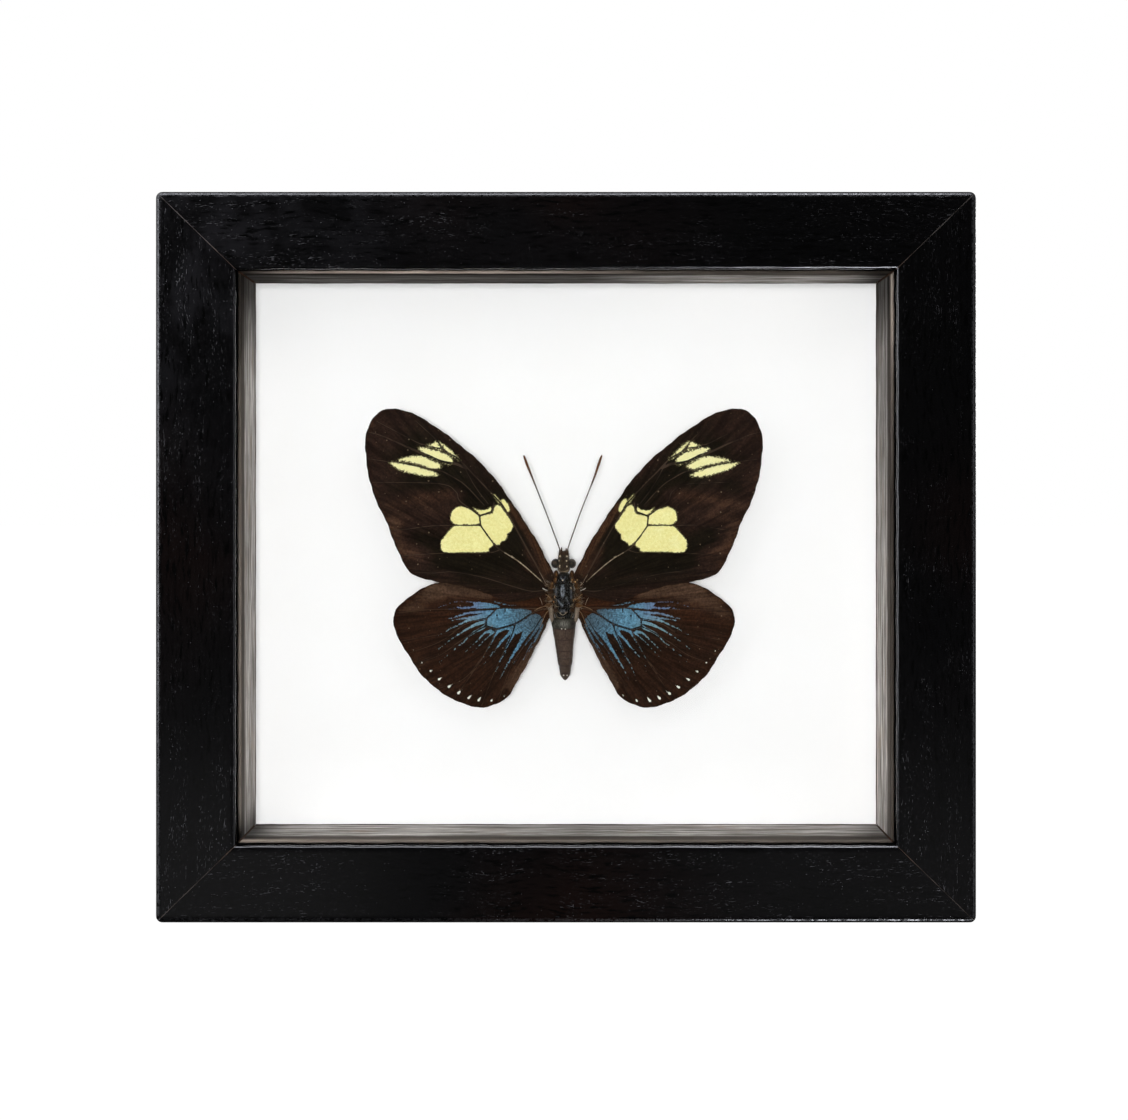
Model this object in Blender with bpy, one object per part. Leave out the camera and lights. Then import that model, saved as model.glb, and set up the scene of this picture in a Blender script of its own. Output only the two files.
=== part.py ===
"""A framed butterfly specimen, standing upright on its bottom rail.

A mitred black frame holds a pane of glass, four spacer fillets, a white mount board and a hardboard
back. A spread dry butterfly sits on a small block in front of the board.

Units are metres. The front faces -Y, +X is to the right as the front is faced, and +Z is up.
The origin is at the bottom centre of the whole object's box.
"""

import math

import bmesh
import bpy
from mathutils import Matrix, Vector

MM = 0.001

# Frame: outer size, mouldings and the depth of each layer behind the front face.
WIDTH = 165.0 * MM
HEIGHT = 147.0 * MM
DEPTH = 34.0 * MM
STILE_FACE = 16.1 * MM
RAIL_FACE = 15.6 * MM
REBATE_AT = 0.62
LIP_DEPTH = 3.0 * MM
GLASS_THICKNESS = 2.0 * MM
BOARD_FRONT = 26.0 * MM
BOARD_THICKNESS = 2.0 * MM
PANEL_THICKNESS = 3.0 * MM
GAP = 0.3 * MM
CORNER_RADIUS = 0.8 * MM
ARRIS_RADIUS = 0.45 * MM
SPACER_PROUD = 0.1 * MM

# Framer's points: flat tabs driven into the rebate walls behind the back panel.
TAB_WIDTH = 6.0 * MM
TAB_LENGTH = 12.0 * MM
TAB_THICKNESS = 0.5 * MM
TAB_BITE = 5.0 * MM
TAB_SPACING = 80.0 * MM

# Sawtooth hanger on the back of the top rail.
HANGER_LENGTH = 36.0 * MM
HANGER_HEIGHT = 6.4 * MM
HANGER_THICKNESS = 0.8 * MM
HANGER_RISE = 1.4 * MM
HANGER_BRIDGE = 24.0 * MM
TOOTH_COUNT = 15
TOOTH_DEPTH = 1.3 * MM
NAIL_SHANK = 0.6 * MM
NAIL_HEAD = 1.5 * MM
NAIL_LENGTH = 7.0 * MM

# Specimen: place of the middle of its thorax, and the depth of its wings.
SPECIMEN_X = -0.4 * MM
SPECIMEN_Z = 65.0 * MM
SPECIMEN_DEPTH = 16.8 * MM
WING_RISE = 0.8 * MM
WING_THICKNESS = 0.25 * MM
WING_DIHEDRAL = math.radians(2.5)
BLOCK_RADIUS = 1.7 * MM

HANGER_STANDOFF = GAP + HANGER_RISE + HANGER_THICKNESS
FRONT_Y = -(DEPTH + HANGER_STANDOFF) / 2
GLASS_FRONT = LIP_DEPTH + GAP
SPACER_FRONT = GLASS_FRONT + GLASS_THICKNESS + GAP
SPACER_BACK = BOARD_FRONT - GAP
PANEL_FRONT = BOARD_FRONT + BOARD_THICKNESS + GAP
TAB_FRONT = PANEL_FRONT + PANEL_THICKNESS + GAP

# Each bar runs between two corners, given as (side, top or bottom).
BAR_ENDS = {
    "top": ((-1, 1), (1, 1)),
    "bottom": ((1, -1), (-1, -1)),
    "left": ((-1, -1), (-1, 1)),
    "right": ((1, 1), (1, -1)),
}

# Outlines of the right-hand wings in millimetres, outwards and upwards from the thorax.
FOREWING = [
    (2.7, 4.4), (5.3, 10.8), (8.8, 16.4), (15.7, 26.0), (24.0, 33.3), (31.2, 37.9), (36.2, 39.0),
    (39.7, 37.2), (41.5, 32.9), (41.4, 28.4), (39.8, 21.8), (36.7, 14.8), (34.1, 8.2),
    (31.2, 4.3), (25.6, 2.8), (19.0, 1.5), (11.6, -1.2), (6.5, -0.6), (2.9, 1.2),
]
HINDWING = [
    (2.9, -2.0), (5.4, 0.4), (12.0, 2.6), (20.0, 3.6), (26.3, 2.8), (30.8, 0.8), (34.6, -2.3),
    (35.6, -5.7), (34.1, -9.5), (29.8, -16.3), (25.8, -20.0), (21.0, -22.6), (16.7, -23.3),
    (12.9, -22.0), (10.6, -19.4), (6.0, -11.0), (3.4, -5.5),
]

# Body cross-sections in millimetres: height, shift to the right, half width, half depth.
HEAD_RINGS = [
    (4.9, 0.0, 1.0, 0.9), (5.5, 0.0, 1.5, 1.4), (6.8, 0.0, 1.7, 1.6), (7.9, 0.0, 1.4, 1.5),
    (8.8, 0.0, 1.1, 1.2), (9.8, 0.0, 0.7, 0.7), (10.2, 0.0, 0.3, 0.3),
]
THORAX_RINGS = [
    (4.6, 0.0, 1.1, 1.1), (4.1, 0.0, 1.7, 1.7), (2.8, 0.0, 2.1, 2.2), (0.6, 0.0, 2.3, 2.5),
    (-1.8, 0.0, 2.3, 2.5), (-3.6, 0.0, 2.1, 2.2), (-4.5, 0.0, 1.9, 1.9), (-4.8, 0.0, 1.5, 1.5),
]
ABDOMEN_RINGS = [
    (-5.1, 0.0, 1.6, 1.5), (-5.5, 0.0, 2.2, 1.9), (-7.0, 0.0, 2.3, 2.0), (-9.5, 0.05, 2.0, 1.9),
    (-12.5, 0.1, 1.6, 1.6), (-15.0, 0.15, 1.3, 1.3), (-16.6, 0.2, 1.0, 1.0), (-17.7, 0.2, 0.3, 0.3),
]
RING_SIDES = 20
EYE_CENTRE = Vector((1.6, -0.3, 6.8)) * MM
EYE_RADIUS = 1.0 * MM

# Paths in millimetres: outwards, away from the viewer, upwards. The last number is the radius.
ANTENNA_PATH = [
    (1.0, -0.6, 10.6, 0.13), (1.7, -0.7, 12.2, 0.13), (3.5, -0.9, 16.9, 0.13),
    (5.3, -1.0, 21.2, 0.13), (6.9, -1.1, 25.1, 0.16), (7.6, -1.1, 27.0, 0.26), (8.1, -1.1, 28.9, 0.2),
]
LEG_PATHS = {
    "leg_mid": [
        (2.0, 2.3, 0.8, 0.2), (2.9, 3.4, -1.2, 0.2), (2.3, 3.9, -4.6, 0.16), (1.7, 3.6, -7.4, 0.12),
    ],
    "leg_hind": [
        (1.9, 2.7, -1.9, 0.2), (2.2, 3.0, -4.2, 0.2), (1.4, 2.8, -8.5, 0.14), (0.9, 2.8, -11.5, 0.12),
    ],
}


def material(name, colour, roughness, metallic=0.0, alpha=1.0):
    """A Principled material, made once for each name."""
    made = bpy.data.materials.get(name)
    if made is None:
        made = bpy.data.materials.new(name)
        made.use_nodes = True
        shader = made.node_tree.nodes["Principled BSDF"]
        shader.inputs["Base Color"].default_value = (*colour, 1.0)
        shader.inputs["Roughness"].default_value = roughness
        shader.inputs["Metallic"].default_value = metallic
        shader.inputs["Alpha"].default_value = alpha
    return made


def place(obj, finish, parent=None):
    """Puts an object in the scene with its material, under a parent if it has one."""
    bpy.context.scene.collection.objects.link(obj)
    obj.data.materials.append(finish)
    obj.parent = parent
    return obj


def mesh_object(name, bm, finish, parent=None, smooth=False):
    """Turns a bmesh into a placed object whose faces point out."""
    bmesh.ops.recalc_face_normals(bm, faces=bm.faces)
    mesh = bpy.data.meshes.new(name)
    bm.to_mesh(mesh)
    bm.free()
    if smooth:
        mesh.shade_smooth()
        mesh.set_sharp_from_angle(angle=math.radians(50))
    return place(bpy.data.objects.new(name, mesh), finish, parent)


def skin(rings):
    """A closed bmesh through rings of equal length, capped at both ends."""
    bm = bmesh.new()
    loops = [[bm.verts.new(point) for point in ring] for ring in rings]
    for near, far in zip(loops, loops[1:]):
        for i in range(len(near)):
            j = (i + 1) % len(near)
            bm.faces.new((near[i], near[j], far[j], far[i]))
    bm.faces.new(loops[0])
    bm.faces.new(loops[-1])
    return bm


def block(low, high):
    """A closed box between two corners."""
    bm = bmesh.new()
    bmesh.ops.create_cube(bm, size=1.0)
    size = Vector(high) - Vector(low)
    middle = (Vector(high) + Vector(low)) / 2
    for vert in bm.verts:
        vert.co = Vector(c * s for c, s in zip(vert.co, size)) + middle
    return bm


def plate(outline, front, back):
    """A flat plate from a closed outline of (x, z) points."""
    return skin([[(x, y, z) for x, z in outline] for y in (front, back)])


def turned(profile, centre_x, centre_z, sides=16):
    """A round piece on an axis along Y, from (y, radius) pairs."""
    rings = []
    for y, radius in profile:
        turns = [2 * math.pi * i / sides for i in range(sides)]
        rings.append([
            (centre_x + radius * math.cos(t), y, centre_z + radius * math.sin(t)) for t in turns
        ])
    return skin(rings)


def cutter(name, bm):
    """A hidden helper for a Boolean."""
    obj = mesh_object(name, bm, material("helper", (0.5, 0.5, 0.5), 0.5))
    obj.hide_render = True
    obj.display_type = "WIRE"
    return obj


def combine(obj, other, operation):
    """Adds a Boolean modifier that joins, cuts or trims obj with other."""
    modifier = obj.modifiers.new(other.name, "BOOLEAN")
    modifier.operation = operation
    modifier.object = other


def depth_y(depth):
    """The Y of a depth behind the frame's front face."""
    return FRONT_Y + depth


def corner(side, end, inset):
    """(x, z) on a mitre line, where inset runs from 0 at the outside to 1 at the sight edge."""
    x = side * (WIDTH / 2 - inset * STILE_FACE)
    z = HEIGHT / 2 + end * (HEIGHT / 2 - inset * RAIL_FACE)
    return x, z


def mitred_bar(name, profile, ends, finish):
    """A bar between two mitres, from a closed profile of (inset, depth) points."""
    start, stop = (Vector(corner(*end, 0)) for end in ends)
    along = (stop - start).normalized() * GAP / math.sqrt(2)
    rings = []
    for end, shift in zip(ends, (along, -along)):
        ring = []
        for inset, depth in profile:
            x, z = corner(*end, inset)
            ring.append((x + shift.x, depth_y(depth), z + shift.y))
        rings.append(ring)
    return mesh_object(name, skin(rings), finish)


def rail_profile(steps=4):
    """The moulding: face, rounded sight arris, lip, rebate, back and outer wall."""
    points = [(0.0, 0.0)]
    for i in range(steps + 1):
        turn = math.pi / 2 * i / steps
        inset = 1 - ARRIS_RADIUS / STILE_FACE * (1 - math.sin(turn))
        points.append((inset, ARRIS_RADIUS * (1 - math.cos(turn))))
    points += [(1.0, LIP_DEPTH), (REBATE_AT, LIP_DEPTH), (REBATE_AT, DEPTH), (0.0, DEPTH)]
    return points


def rounded_envelope():
    """The frame's outer shape, with its front arrises and its four long corners rounded."""
    bm = block(
        (-WIDTH / 2, depth_y(0), 0),
        (WIDTH / 2, depth_y(DEPTH), HEIGHT),
    )
    long_corners = [e for e in bm.edges if abs(e.verts[0].co.y - e.verts[1].co.y) > DEPTH / 2]
    bmesh.ops.bevel(
        bm, geom=long_corners, offset=CORNER_RADIUS, segments=4, profile=0.5, affect="EDGES"
    )
    front = [e for e in bm.edges if all(abs(v.co.y - FRONT_Y) < GAP / 10 for v in e.verts)]
    bmesh.ops.bevel(
        bm, geom=front, offset=ARRIS_RADIUS, segments=4, profile=0.5, affect="EDGES"
    )
    return cutter("envelope", bm)


def sheet_in_rebate(name, front, thickness, finish):
    """A flat sheet that drops into the rebate with a gap all round."""
    x, top = corner(1, 1, REBATE_AT)
    bm = block(
        (-x + GAP, depth_y(front), HEIGHT - top + GAP),
        (x - GAP, depth_y(front + thickness), top - GAP),
    )
    return mesh_object(name, bm, finish)


def make_rails():
    """Four black rails, trimmed to the rounded outer shape."""
    envelope = rounded_envelope()
    lacquer = material("black_lacquer", (0.014, 0.012, 0.012), 0.3)
    rails = {}
    for place_name, ends in BAR_ENDS.items():
        rail = mitred_bar("rail_" + place_name, rail_profile(), ends, lacquer)
        combine(rail, envelope, "INTERSECT")
        rails[place_name] = rail
    return rails


def make_spacers():
    """Four fillets between the glass and the mount board."""
    inner = 1 + SPACER_PROUD / STILE_FACE
    outer = REBATE_AT + GAP / STILE_FACE
    profile = [
        (inner, SPACER_FRONT), (inner, SPACER_BACK), (outer, SPACER_BACK), (outer, SPACER_FRONT),
    ]
    stain = material("grey_stain", (0.2, 0.18, 0.16), 0.55)
    for place_name, ends in BAR_ENDS.items():
        mitred_bar("spacer_" + place_name, profile, ends, stain)


def make_sheets():
    """The glass, the white mount board and the hardboard back."""
    clear = material("clear_glass", (1.0, 1.0, 1.0), 0.02, alpha=0.25)
    white = material("white_board", (0.92, 0.92, 0.91), 0.8)
    brown = material("hardboard", (0.32, 0.2, 0.12), 0.75)
    sheet_in_rebate("glass", GLASS_FRONT, GLASS_THICKNESS, clear)
    sheet_in_rebate("mount_board", BOARD_FRONT, BOARD_THICKNESS, white)
    sheet_in_rebate("back_panel", PANEL_FRONT, PANEL_THICKNESS, brown)


def tab_places():
    """(rail, x, z, inward direction) of each framer's point, at the rebate wall."""
    x, top = corner(1, 1, REBATE_AT)
    bottom = HEIGHT - top
    places = []
    for rail, z, inward in (("top", top, -1), ("bottom", bottom, 1)):
        for side in (-1, 1):
            places.append((rail, side * TAB_SPACING / 2, z, Vector((0, inward))))
    for rail, side in (("left", -1), ("right", 1)):
        places.append((rail, side * x, HEIGHT / 2, Vector((-side, 0))))
    return places


def tab_plate(x, z, inward, front, back, margin):
    """A tab with a pointed outer end, or its slot when margin is above zero."""
    across = Vector((inward.y, -inward.x))
    reach = TAB_LENGTH - TAB_BITE
    shape = [
        (-TAB_BITE - margin, 0.0),
        (-TAB_BITE / 2 - margin, TAB_WIDTH / 2 + margin),
        (reach, TAB_WIDTH / 2 + margin),
        (reach, -TAB_WIDTH / 2 - margin),
        (-TAB_BITE / 2 - margin, -TAB_WIDTH / 2 - margin),
    ]
    points = [Vector((x, z)) + inward * along + across * aside for along, aside in shape]
    return plate([tuple(point) for point in points], depth_y(front), depth_y(back))


def make_tabs(rails):
    """Six framer's points, each in a slot in its rail."""
    steel = material("steel", (0.5, 0.5, 0.51), 0.35, metallic=1.0)
    back = TAB_FRONT + TAB_THICKNESS
    for number, (rail, x, z, inward) in enumerate(tab_places(), start=1):
        name = "retaining_tab_%d" % number
        mesh_object(name, tab_plate(x, z, inward, TAB_FRONT, back, 0), steel)
        slot = tab_plate(x, z, inward, TAB_FRONT - GAP, back + GAP, GAP)
        combine(rails[rail], cutter("slot_%d" % number, slot), "DIFFERENCE")


def hanger_stations():
    """(x, standoff, bottom cut) along the hanger: flat ends, sloping shoulders, toothed bridge."""
    end = HANGER_LENGTH / 2
    bridge = HANGER_BRIDGE / 2
    shoulder = bridge + HANGER_RISE
    pitch = HANGER_BRIDGE / (TOOTH_COUNT + 1)
    stations = [(-end, 0, 0), (-shoulder, 0, 0), (-bridge, HANGER_RISE, 0)]
    for tooth in range(TOOTH_COUNT):
        x = -bridge + pitch * (tooth + 0.5)
        stations += [(x, HANGER_RISE, 0), (x + pitch / 2, HANGER_RISE, TOOTH_DEPTH)]
    stations += [(bridge - pitch / 2, HANGER_RISE, 0), (bridge, HANGER_RISE, 0)]
    return stations + [(shoulder, 0, 0), (end, 0, 0)]


def make_hanger(top_rail):
    """The sawtooth hanger, its two nails and their holes in the top rail."""
    brass = material("brassed_steel", (0.62, 0.5, 0.28), 0.35, metallic=1.0)
    middle = HEIGHT - RAIL_FACE * REBATE_AT / 2
    low = middle - HANGER_HEIGHT / 2
    high = middle + HANGER_HEIGHT / 2
    rings = []
    for x, standoff, cut in hanger_stations():
        near = depth_y(DEPTH + GAP + standoff)
        far = near + HANGER_THICKNESS
        rings.append([(x, near, low + cut), (x, near, high), (x, far, high), (x, far, low + cut)])
    hanger = mesh_object("sawtooth_hanger", skin(rings), brass)

    plate_back = depth_y(DEPTH + GAP + HANGER_THICKNESS)
    head_back = plate_back + GAP + HANGER_THICKNESS
    tip = head_back - NAIL_LENGTH
    hole_x = (HANGER_LENGTH + HANGER_BRIDGE) / 4 + HANGER_RISE / 2
    for name, side in (("left", -1), ("right", 1)):
        nail = turned(
            [
                (tip, NAIL_SHANK / 4), (tip + NAIL_SHANK * 2, NAIL_SHANK),
                (plate_back + GAP, NAIL_SHANK), (plate_back + GAP, NAIL_HEAD),
                (head_back - GAP, NAIL_HEAD), (head_back, NAIL_HEAD / 2),
            ],
            side * hole_x,
            middle,
        )
        mesh_object("hanger_nail_" + name, nail, brass, smooth=True)
        hole = turned(
            [(tip - GAP, NAIL_SHANK + GAP), (plate_back + GAP / 2, NAIL_SHANK + GAP)],
            side * hole_x,
            middle,
        )
        drill = cutter("nail_hole_" + name, hole)
        combine(hanger, drill, "DIFFERENCE")
        combine(top_rail, drill, "DIFFERENCE")


def smooth_outline(points, steps=4):
    """A closed Catmull-Rom curve through the points, as (x, z) pairs in metres."""
    count = len(points)
    curve = []
    for i in range(count):
        a, b, c, d = (Vector(points[(i + k) % count]) * MM for k in (-1, 0, 1, 2))
        for step in range(steps):
            t = step / steps
            curve.append(tuple(
                b + (c - a) * t / 2
                + (a * 2 - b * 5 + c * 4 - d) * t**2 / 2
                + (b * 3 - a - c * 3 + d) * t**3 / 2
            ))
    return curve


def make_wings(specimen):
    """Four flat wings, tilted a little forward at their tips, the hindwings just behind."""
    scales = material("wing_scales", (0.03, 0.018, 0.012), 0.8)
    for kind, outline, behind in (("forewing", FOREWING, 0.0), ("hindwing", HINDWING, 0.55 * MM)):
        front = -WING_RISE + behind
        for side_name, side in (("left", -1), ("right", 1)):
            points = [(side * x, z) for x, z in smooth_outline(outline)]
            wing = mesh_object(
                kind + "_" + side_name, plate(points, front, front + WING_THICKNESS), scales, specimen
            )
            wing.rotation_euler.z = -side * WING_DIHEDRAL


def body_rings(rings):
    """Elliptical rings round the body's long axis."""
    turns = [2 * math.pi * i / RING_SIDES for i in range(RING_SIDES)]
    return [
        [
            ((x + half_width * math.cos(t)) * MM, half_depth * math.sin(t) * MM, z * MM)
            for t in turns
        ]
        for z, x, half_width, half_depth in rings
    ]


def make_body(specimen):
    """Head with its eyes, thorax and abdomen."""
    dark = material("body_chitin", (0.03, 0.025, 0.022), 0.5)
    soft = material("abdomen_skin", (0.09, 0.07, 0.06), 0.75)
    head = mesh_object("head", skin(body_rings(HEAD_RINGS)), dark, specimen, smooth=True)
    for name, side in (("left", -1), ("right", 1)):
        bm = bmesh.new()
        bmesh.ops.create_uvsphere(bm, u_segments=14, v_segments=9, radius=EYE_RADIUS)
        bm.transform(Matrix.Translation((side * EYE_CENTRE.x, *EYE_CENTRE.yz)))
        eye = cutter("eye_" + name, bm)
        eye.parent = specimen
        combine(head, eye, "UNION")
    mesh_object("thorax", skin(body_rings(THORAX_RINGS)), dark, specimen, smooth=True)
    mesh_object("abdomen", skin(body_rings(ABDOMEN_RINGS)), soft, specimen, smooth=True)


def tube(name, path, side, finish, specimen):
    """A thin tapering tube along a path of (outwards, back, up, radius) in millimetres."""
    data = bpy.data.curves.new(name, "CURVE")
    data.dimensions = "3D"
    data.bevel_depth = MM
    data.bevel_resolution = 1
    data.use_fill_caps = True
    spline = data.splines.new("POLY")
    spline.points.add(len(path) - 1)
    for point, (x, y, z, radius) in zip(spline.points, path):
        point.co = (side * x * MM, y * MM, z * MM, 1.0)
        point.radius = radius
    return place(bpy.data.objects.new(name, data), finish, specimen)


def make_limbs(specimen):
    """Two clubbed antennae, and four walking legs folded under the thorax."""
    horn = material("antenna_horn", (0.06, 0.03, 0.02), 0.5)
    for side_name, side in (("left", -1), ("right", 1)):
        tube("antenna_" + side_name, ANTENNA_PATH, side, horn, specimen)
        for kind, path in LEG_PATHS.items():
            tube(kind + "_" + side_name, path, side, horn, specimen)


def make_block():
    """The foam block between the mount board and the thorax."""
    foam = material("white_foam", (0.85, 0.85, 0.83), 0.9)
    thorax_back = SPECIMEN_DEPTH + max(ring[3] for ring in THORAX_RINGS) * MM
    profile = [
        (depth_y(thorax_back + GAP), BLOCK_RADIUS),
        (depth_y(BOARD_FRONT - GAP), BLOCK_RADIUS),
    ]
    mesh_object("specimen_block", turned(profile, SPECIMEN_X, SPECIMEN_Z), foam, smooth=True)


def main():
    for obj in list(bpy.data.objects):
        bpy.data.objects.remove(obj, do_unlink=True)
    rails = make_rails()
    make_spacers()
    make_sheets()
    make_tabs(rails)
    make_hanger(rails["top"])

    specimen = bpy.data.objects.new("specimen", None)
    specimen.location = (SPECIMEN_X, depth_y(SPECIMEN_DEPTH), SPECIMEN_Z)
    bpy.context.scene.collection.objects.link(specimen)
    make_wings(specimen)
    make_body(specimen)
    make_limbs(specimen)
    make_block()


main()
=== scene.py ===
"""The looks of a framed butterfly specimen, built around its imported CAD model.

Everything is in metres in the CAD model's frame: the front faces -Y, +X is right and +Z is up.
Wing and body shapes are written in millimetres from the middle of the thorax.
"""

import math

import bmesh
import bpy
import numpy as np
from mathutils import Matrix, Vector, geometry


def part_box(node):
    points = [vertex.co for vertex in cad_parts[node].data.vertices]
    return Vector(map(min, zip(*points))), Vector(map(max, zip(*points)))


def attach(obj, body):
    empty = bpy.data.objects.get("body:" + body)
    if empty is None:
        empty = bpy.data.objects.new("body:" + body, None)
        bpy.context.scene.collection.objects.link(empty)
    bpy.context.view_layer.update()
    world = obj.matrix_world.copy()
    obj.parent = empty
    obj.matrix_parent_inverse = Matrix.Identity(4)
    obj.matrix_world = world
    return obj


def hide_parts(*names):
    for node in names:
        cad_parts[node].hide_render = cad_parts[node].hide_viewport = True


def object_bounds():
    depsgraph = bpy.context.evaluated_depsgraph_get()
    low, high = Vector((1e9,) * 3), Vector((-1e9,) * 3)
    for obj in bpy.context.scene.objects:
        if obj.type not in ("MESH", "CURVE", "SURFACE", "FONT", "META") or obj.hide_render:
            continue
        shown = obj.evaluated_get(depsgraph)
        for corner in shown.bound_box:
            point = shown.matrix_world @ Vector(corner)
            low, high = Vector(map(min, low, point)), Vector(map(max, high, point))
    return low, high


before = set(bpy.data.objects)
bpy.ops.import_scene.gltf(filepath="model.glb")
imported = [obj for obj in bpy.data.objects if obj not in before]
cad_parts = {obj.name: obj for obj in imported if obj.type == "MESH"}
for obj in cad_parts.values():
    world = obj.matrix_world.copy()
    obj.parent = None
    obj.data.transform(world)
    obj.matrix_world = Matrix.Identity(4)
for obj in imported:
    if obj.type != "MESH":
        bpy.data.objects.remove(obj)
cad_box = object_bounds()

MM = 0.001
SIDES = (("left", -1), ("right", 1))


# ---------------------------------------------------------------- places read from the frame

LOW, HIGH = cad_box
WIDTH = HIGH.x - LOW.x
HEIGHT = HIGH.z - LOW.z
FRONT_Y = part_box("rail_top")[0].y
BACK_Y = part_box("rail_top")[1].y
DEPTH = BACK_Y - FRONT_Y
GLASS_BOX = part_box("glass")
BOARD_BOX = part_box("mount_board")
SPACER_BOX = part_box("spacer_left")
STILE_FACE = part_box("rail_left")[1].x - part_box("rail_left")[0].x
RAIL_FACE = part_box("rail_bottom")[1].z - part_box("rail_bottom")[0].z
LIP_DEPTH = 3.0 * MM  # From the face back to the rebate that holds the glass
REBATE_AT = 0.62  # The rebate's wall, as a share of the face's width from the outside

# Where the specimen's millimetres start: the middle of the thorax.
THORAX_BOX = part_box("thorax")
SPECIMEN = Vector((
    (THORAX_BOX[0].x + THORAX_BOX[1].x) / 2,
    (THORAX_BOX[0].y + THORAX_BOX[1].y) / 2,
    THORAX_BOX[0].z + 4.8 * MM,
))


# ---------------------------------------------------------------- material graph helper

def math_operators(operation):
    """The operator for a kind of Math node, with the value on its left and on its right."""
    def on_left(self, other):
        return self.paint.math(operation, self, other)

    def on_right(self, other):
        return self.paint.math(operation, other, self)

    return on_left, on_right


class Value:
    """A node's output in a Paint. Plus, minus, times and divide make Math nodes."""

    def __init__(self, paint, socket):
        self.paint = paint
        self.socket = socket

    __add__, __radd__ = math_operators("ADD")
    __sub__, __rsub__ = math_operators("SUBTRACT")
    __mul__, __rmul__ = math_operators("MULTIPLY")
    __truediv__, __rtruediv__ = math_operators("DIVIDE")


class Paint:
    """A material's node tree. Every method takes plain numbers, colours or Values."""

    def __init__(self, name):
        self.material = bpy.data.materials.new(name)
        self.material.use_nodes = True
        self.tree = self.material.node_tree
        self.tree.nodes.clear()

    def node(self, kind, inputs=None, **settings):
        """Adds a shader node, with its settings and with its inputs by name or number."""
        made = self.tree.nodes.new("ShaderNode" + kind)
        for key, value in settings.items():
            setattr(made, key, value)
        for key, value in (inputs or {}).items():
            socket = made.inputs[key]
            if isinstance(value, Value):
                self.tree.links.new(value.socket, socket)
            elif isinstance(value, tuple) and socket.type == "RGBA":
                socket.default_value = (*value[:3], 1.0)
            else:
                socket.default_value = value
        return made

    def output(self, kind, inputs=None, output=0, **settings):
        """Adds a shader node and gives one of its outputs."""
        return Value(self, self.node(kind, inputs, **settings).outputs[output])

    def math(self, operation, a, b=0.0):
        """A Math node: an operation on one or two numbers."""
        return self.output("Math", {0: a, 1: b}, operation=operation)

    def larger(self, a, b):
        """The larger of two numbers."""
        return self.math("MAXIMUM", a, b)

    def smaller(self, a, b):
        """The smaller of two numbers."""
        return self.math("MINIMUM", a, b)

    def mix(self, factor, a, b, blend="MIX"):
        """Colour a at factor 0, colour b at factor 1."""
        return self.output("Mix", {0: factor, 6: a, 7: b}, 2, data_type="RGBA", blend_type=blend)

    def fade(self, value, low, high, start=0.0, end=1.0):
        """Start below low, end above high, a smooth step between; plain low may exceed high."""
        if not isinstance(low, Value) and low > high:
            low, high, start, end = high, low, end, start
        inputs = {"Value": value, "From Min": low, "From Max": high, "To Min": start, "To Max": end}
        return self.output("MapRange", inputs, interpolation_type="SMOOTHSTEP")

    def attribute(self, name):
        """A number stored on the mesh."""
        return self.output("Attribute", output="Fac", attribute_name=name)

    def ramp(self, value, stops):
        """A value that follows (position, level) stops, from position 0 to 1."""
        made = self.node("ValToRGB", {"Fac": value})
        elements = made.color_ramp.elements
        for _ in stops[2:]:
            elements.new(0.5)
        for element, (position, level) in zip(elements, stops):
            element.position = position
            element.color = (level, level, level, 1.0)
        return Value(self, made.outputs[0])

    def scaled(self, colour, amount):
        """A colour made darker or lighter."""
        return self.output("VectorMath", {0: colour, "Scale": amount}, operation="SCALE")

    def place(self, scale=(1, 1, 1), shift=(0, 0, 0)):
        """Object coordinates in millimetres, scaled and shifted."""
        source = self.output("TexCoord", output="Object")
        scale = tuple(s / MM for s in scale)
        return self.output("Mapping", {"Vector": source, "Scale": scale, "Location": shift})

    def noise(self, where, scale=1.0, detail=2.0, roughness=0.5, distortion=0.0):
        """Cloudy noise from 0 to 1, mostly from 0.3 to 0.7."""
        inputs = {"Vector": where, "Scale": scale, "Detail": detail}
        inputs |= {"Roughness": roughness, "Distortion": distortion}
        return self.output("TexNoise", inputs, output="Fac")

    def cells(self, where, scale=1.0, **settings):
        """Voronoi cells: the distance to the nearest point, and a random colour for each cell."""
        made = self.node("TexVoronoi", {"Vector": where, "Scale": scale}, **settings)
        return Value(self, made.outputs["Distance"]), Value(self, made.outputs["Color"])

    def joined(self, x, y=0.0, z=0.0):
        """A vector from its x, y and z."""
        return self.output("CombineXYZ", {"X": x, "Y": y, "Z": z})

    def split(self, vector):
        """A vector's x, y and z."""
        return [Value(self, part) for part in self.node("SeparateXYZ", {"Vector": vector}).outputs]

    def parts(self, colour):
        """A colour's red, green and blue."""
        return [Value(self, part) for part in self.node("SeparateColor", {"Color": colour}).outputs]

    def bump(self, height, distance, strength):
        """A normal for a height from 0 to 1 that stands for a distance in metres."""
        return self.output("Bump", {"Height": height, "Distance": distance, "Strength": strength})

    def surface(self, colour, roughness, normal, **sockets):
        """A Principled surface; keyword names are socket names with underscores for spaces."""
        inputs = {"Base Color": colour, "Roughness": roughness, "Normal": normal}
        for key, value in sockets.items():
            inputs[key.replace("_", " ")] = value
        return self.finish(self.output("BsdfPrincipled", inputs))

    def finish(self, shader):
        """Gives the shader to the material's output, and returns the material."""
        self.node("OutputMaterial", {"Surface": shader})
        return self.material


# ---------------------------------------------------------------- frame materials

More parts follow.
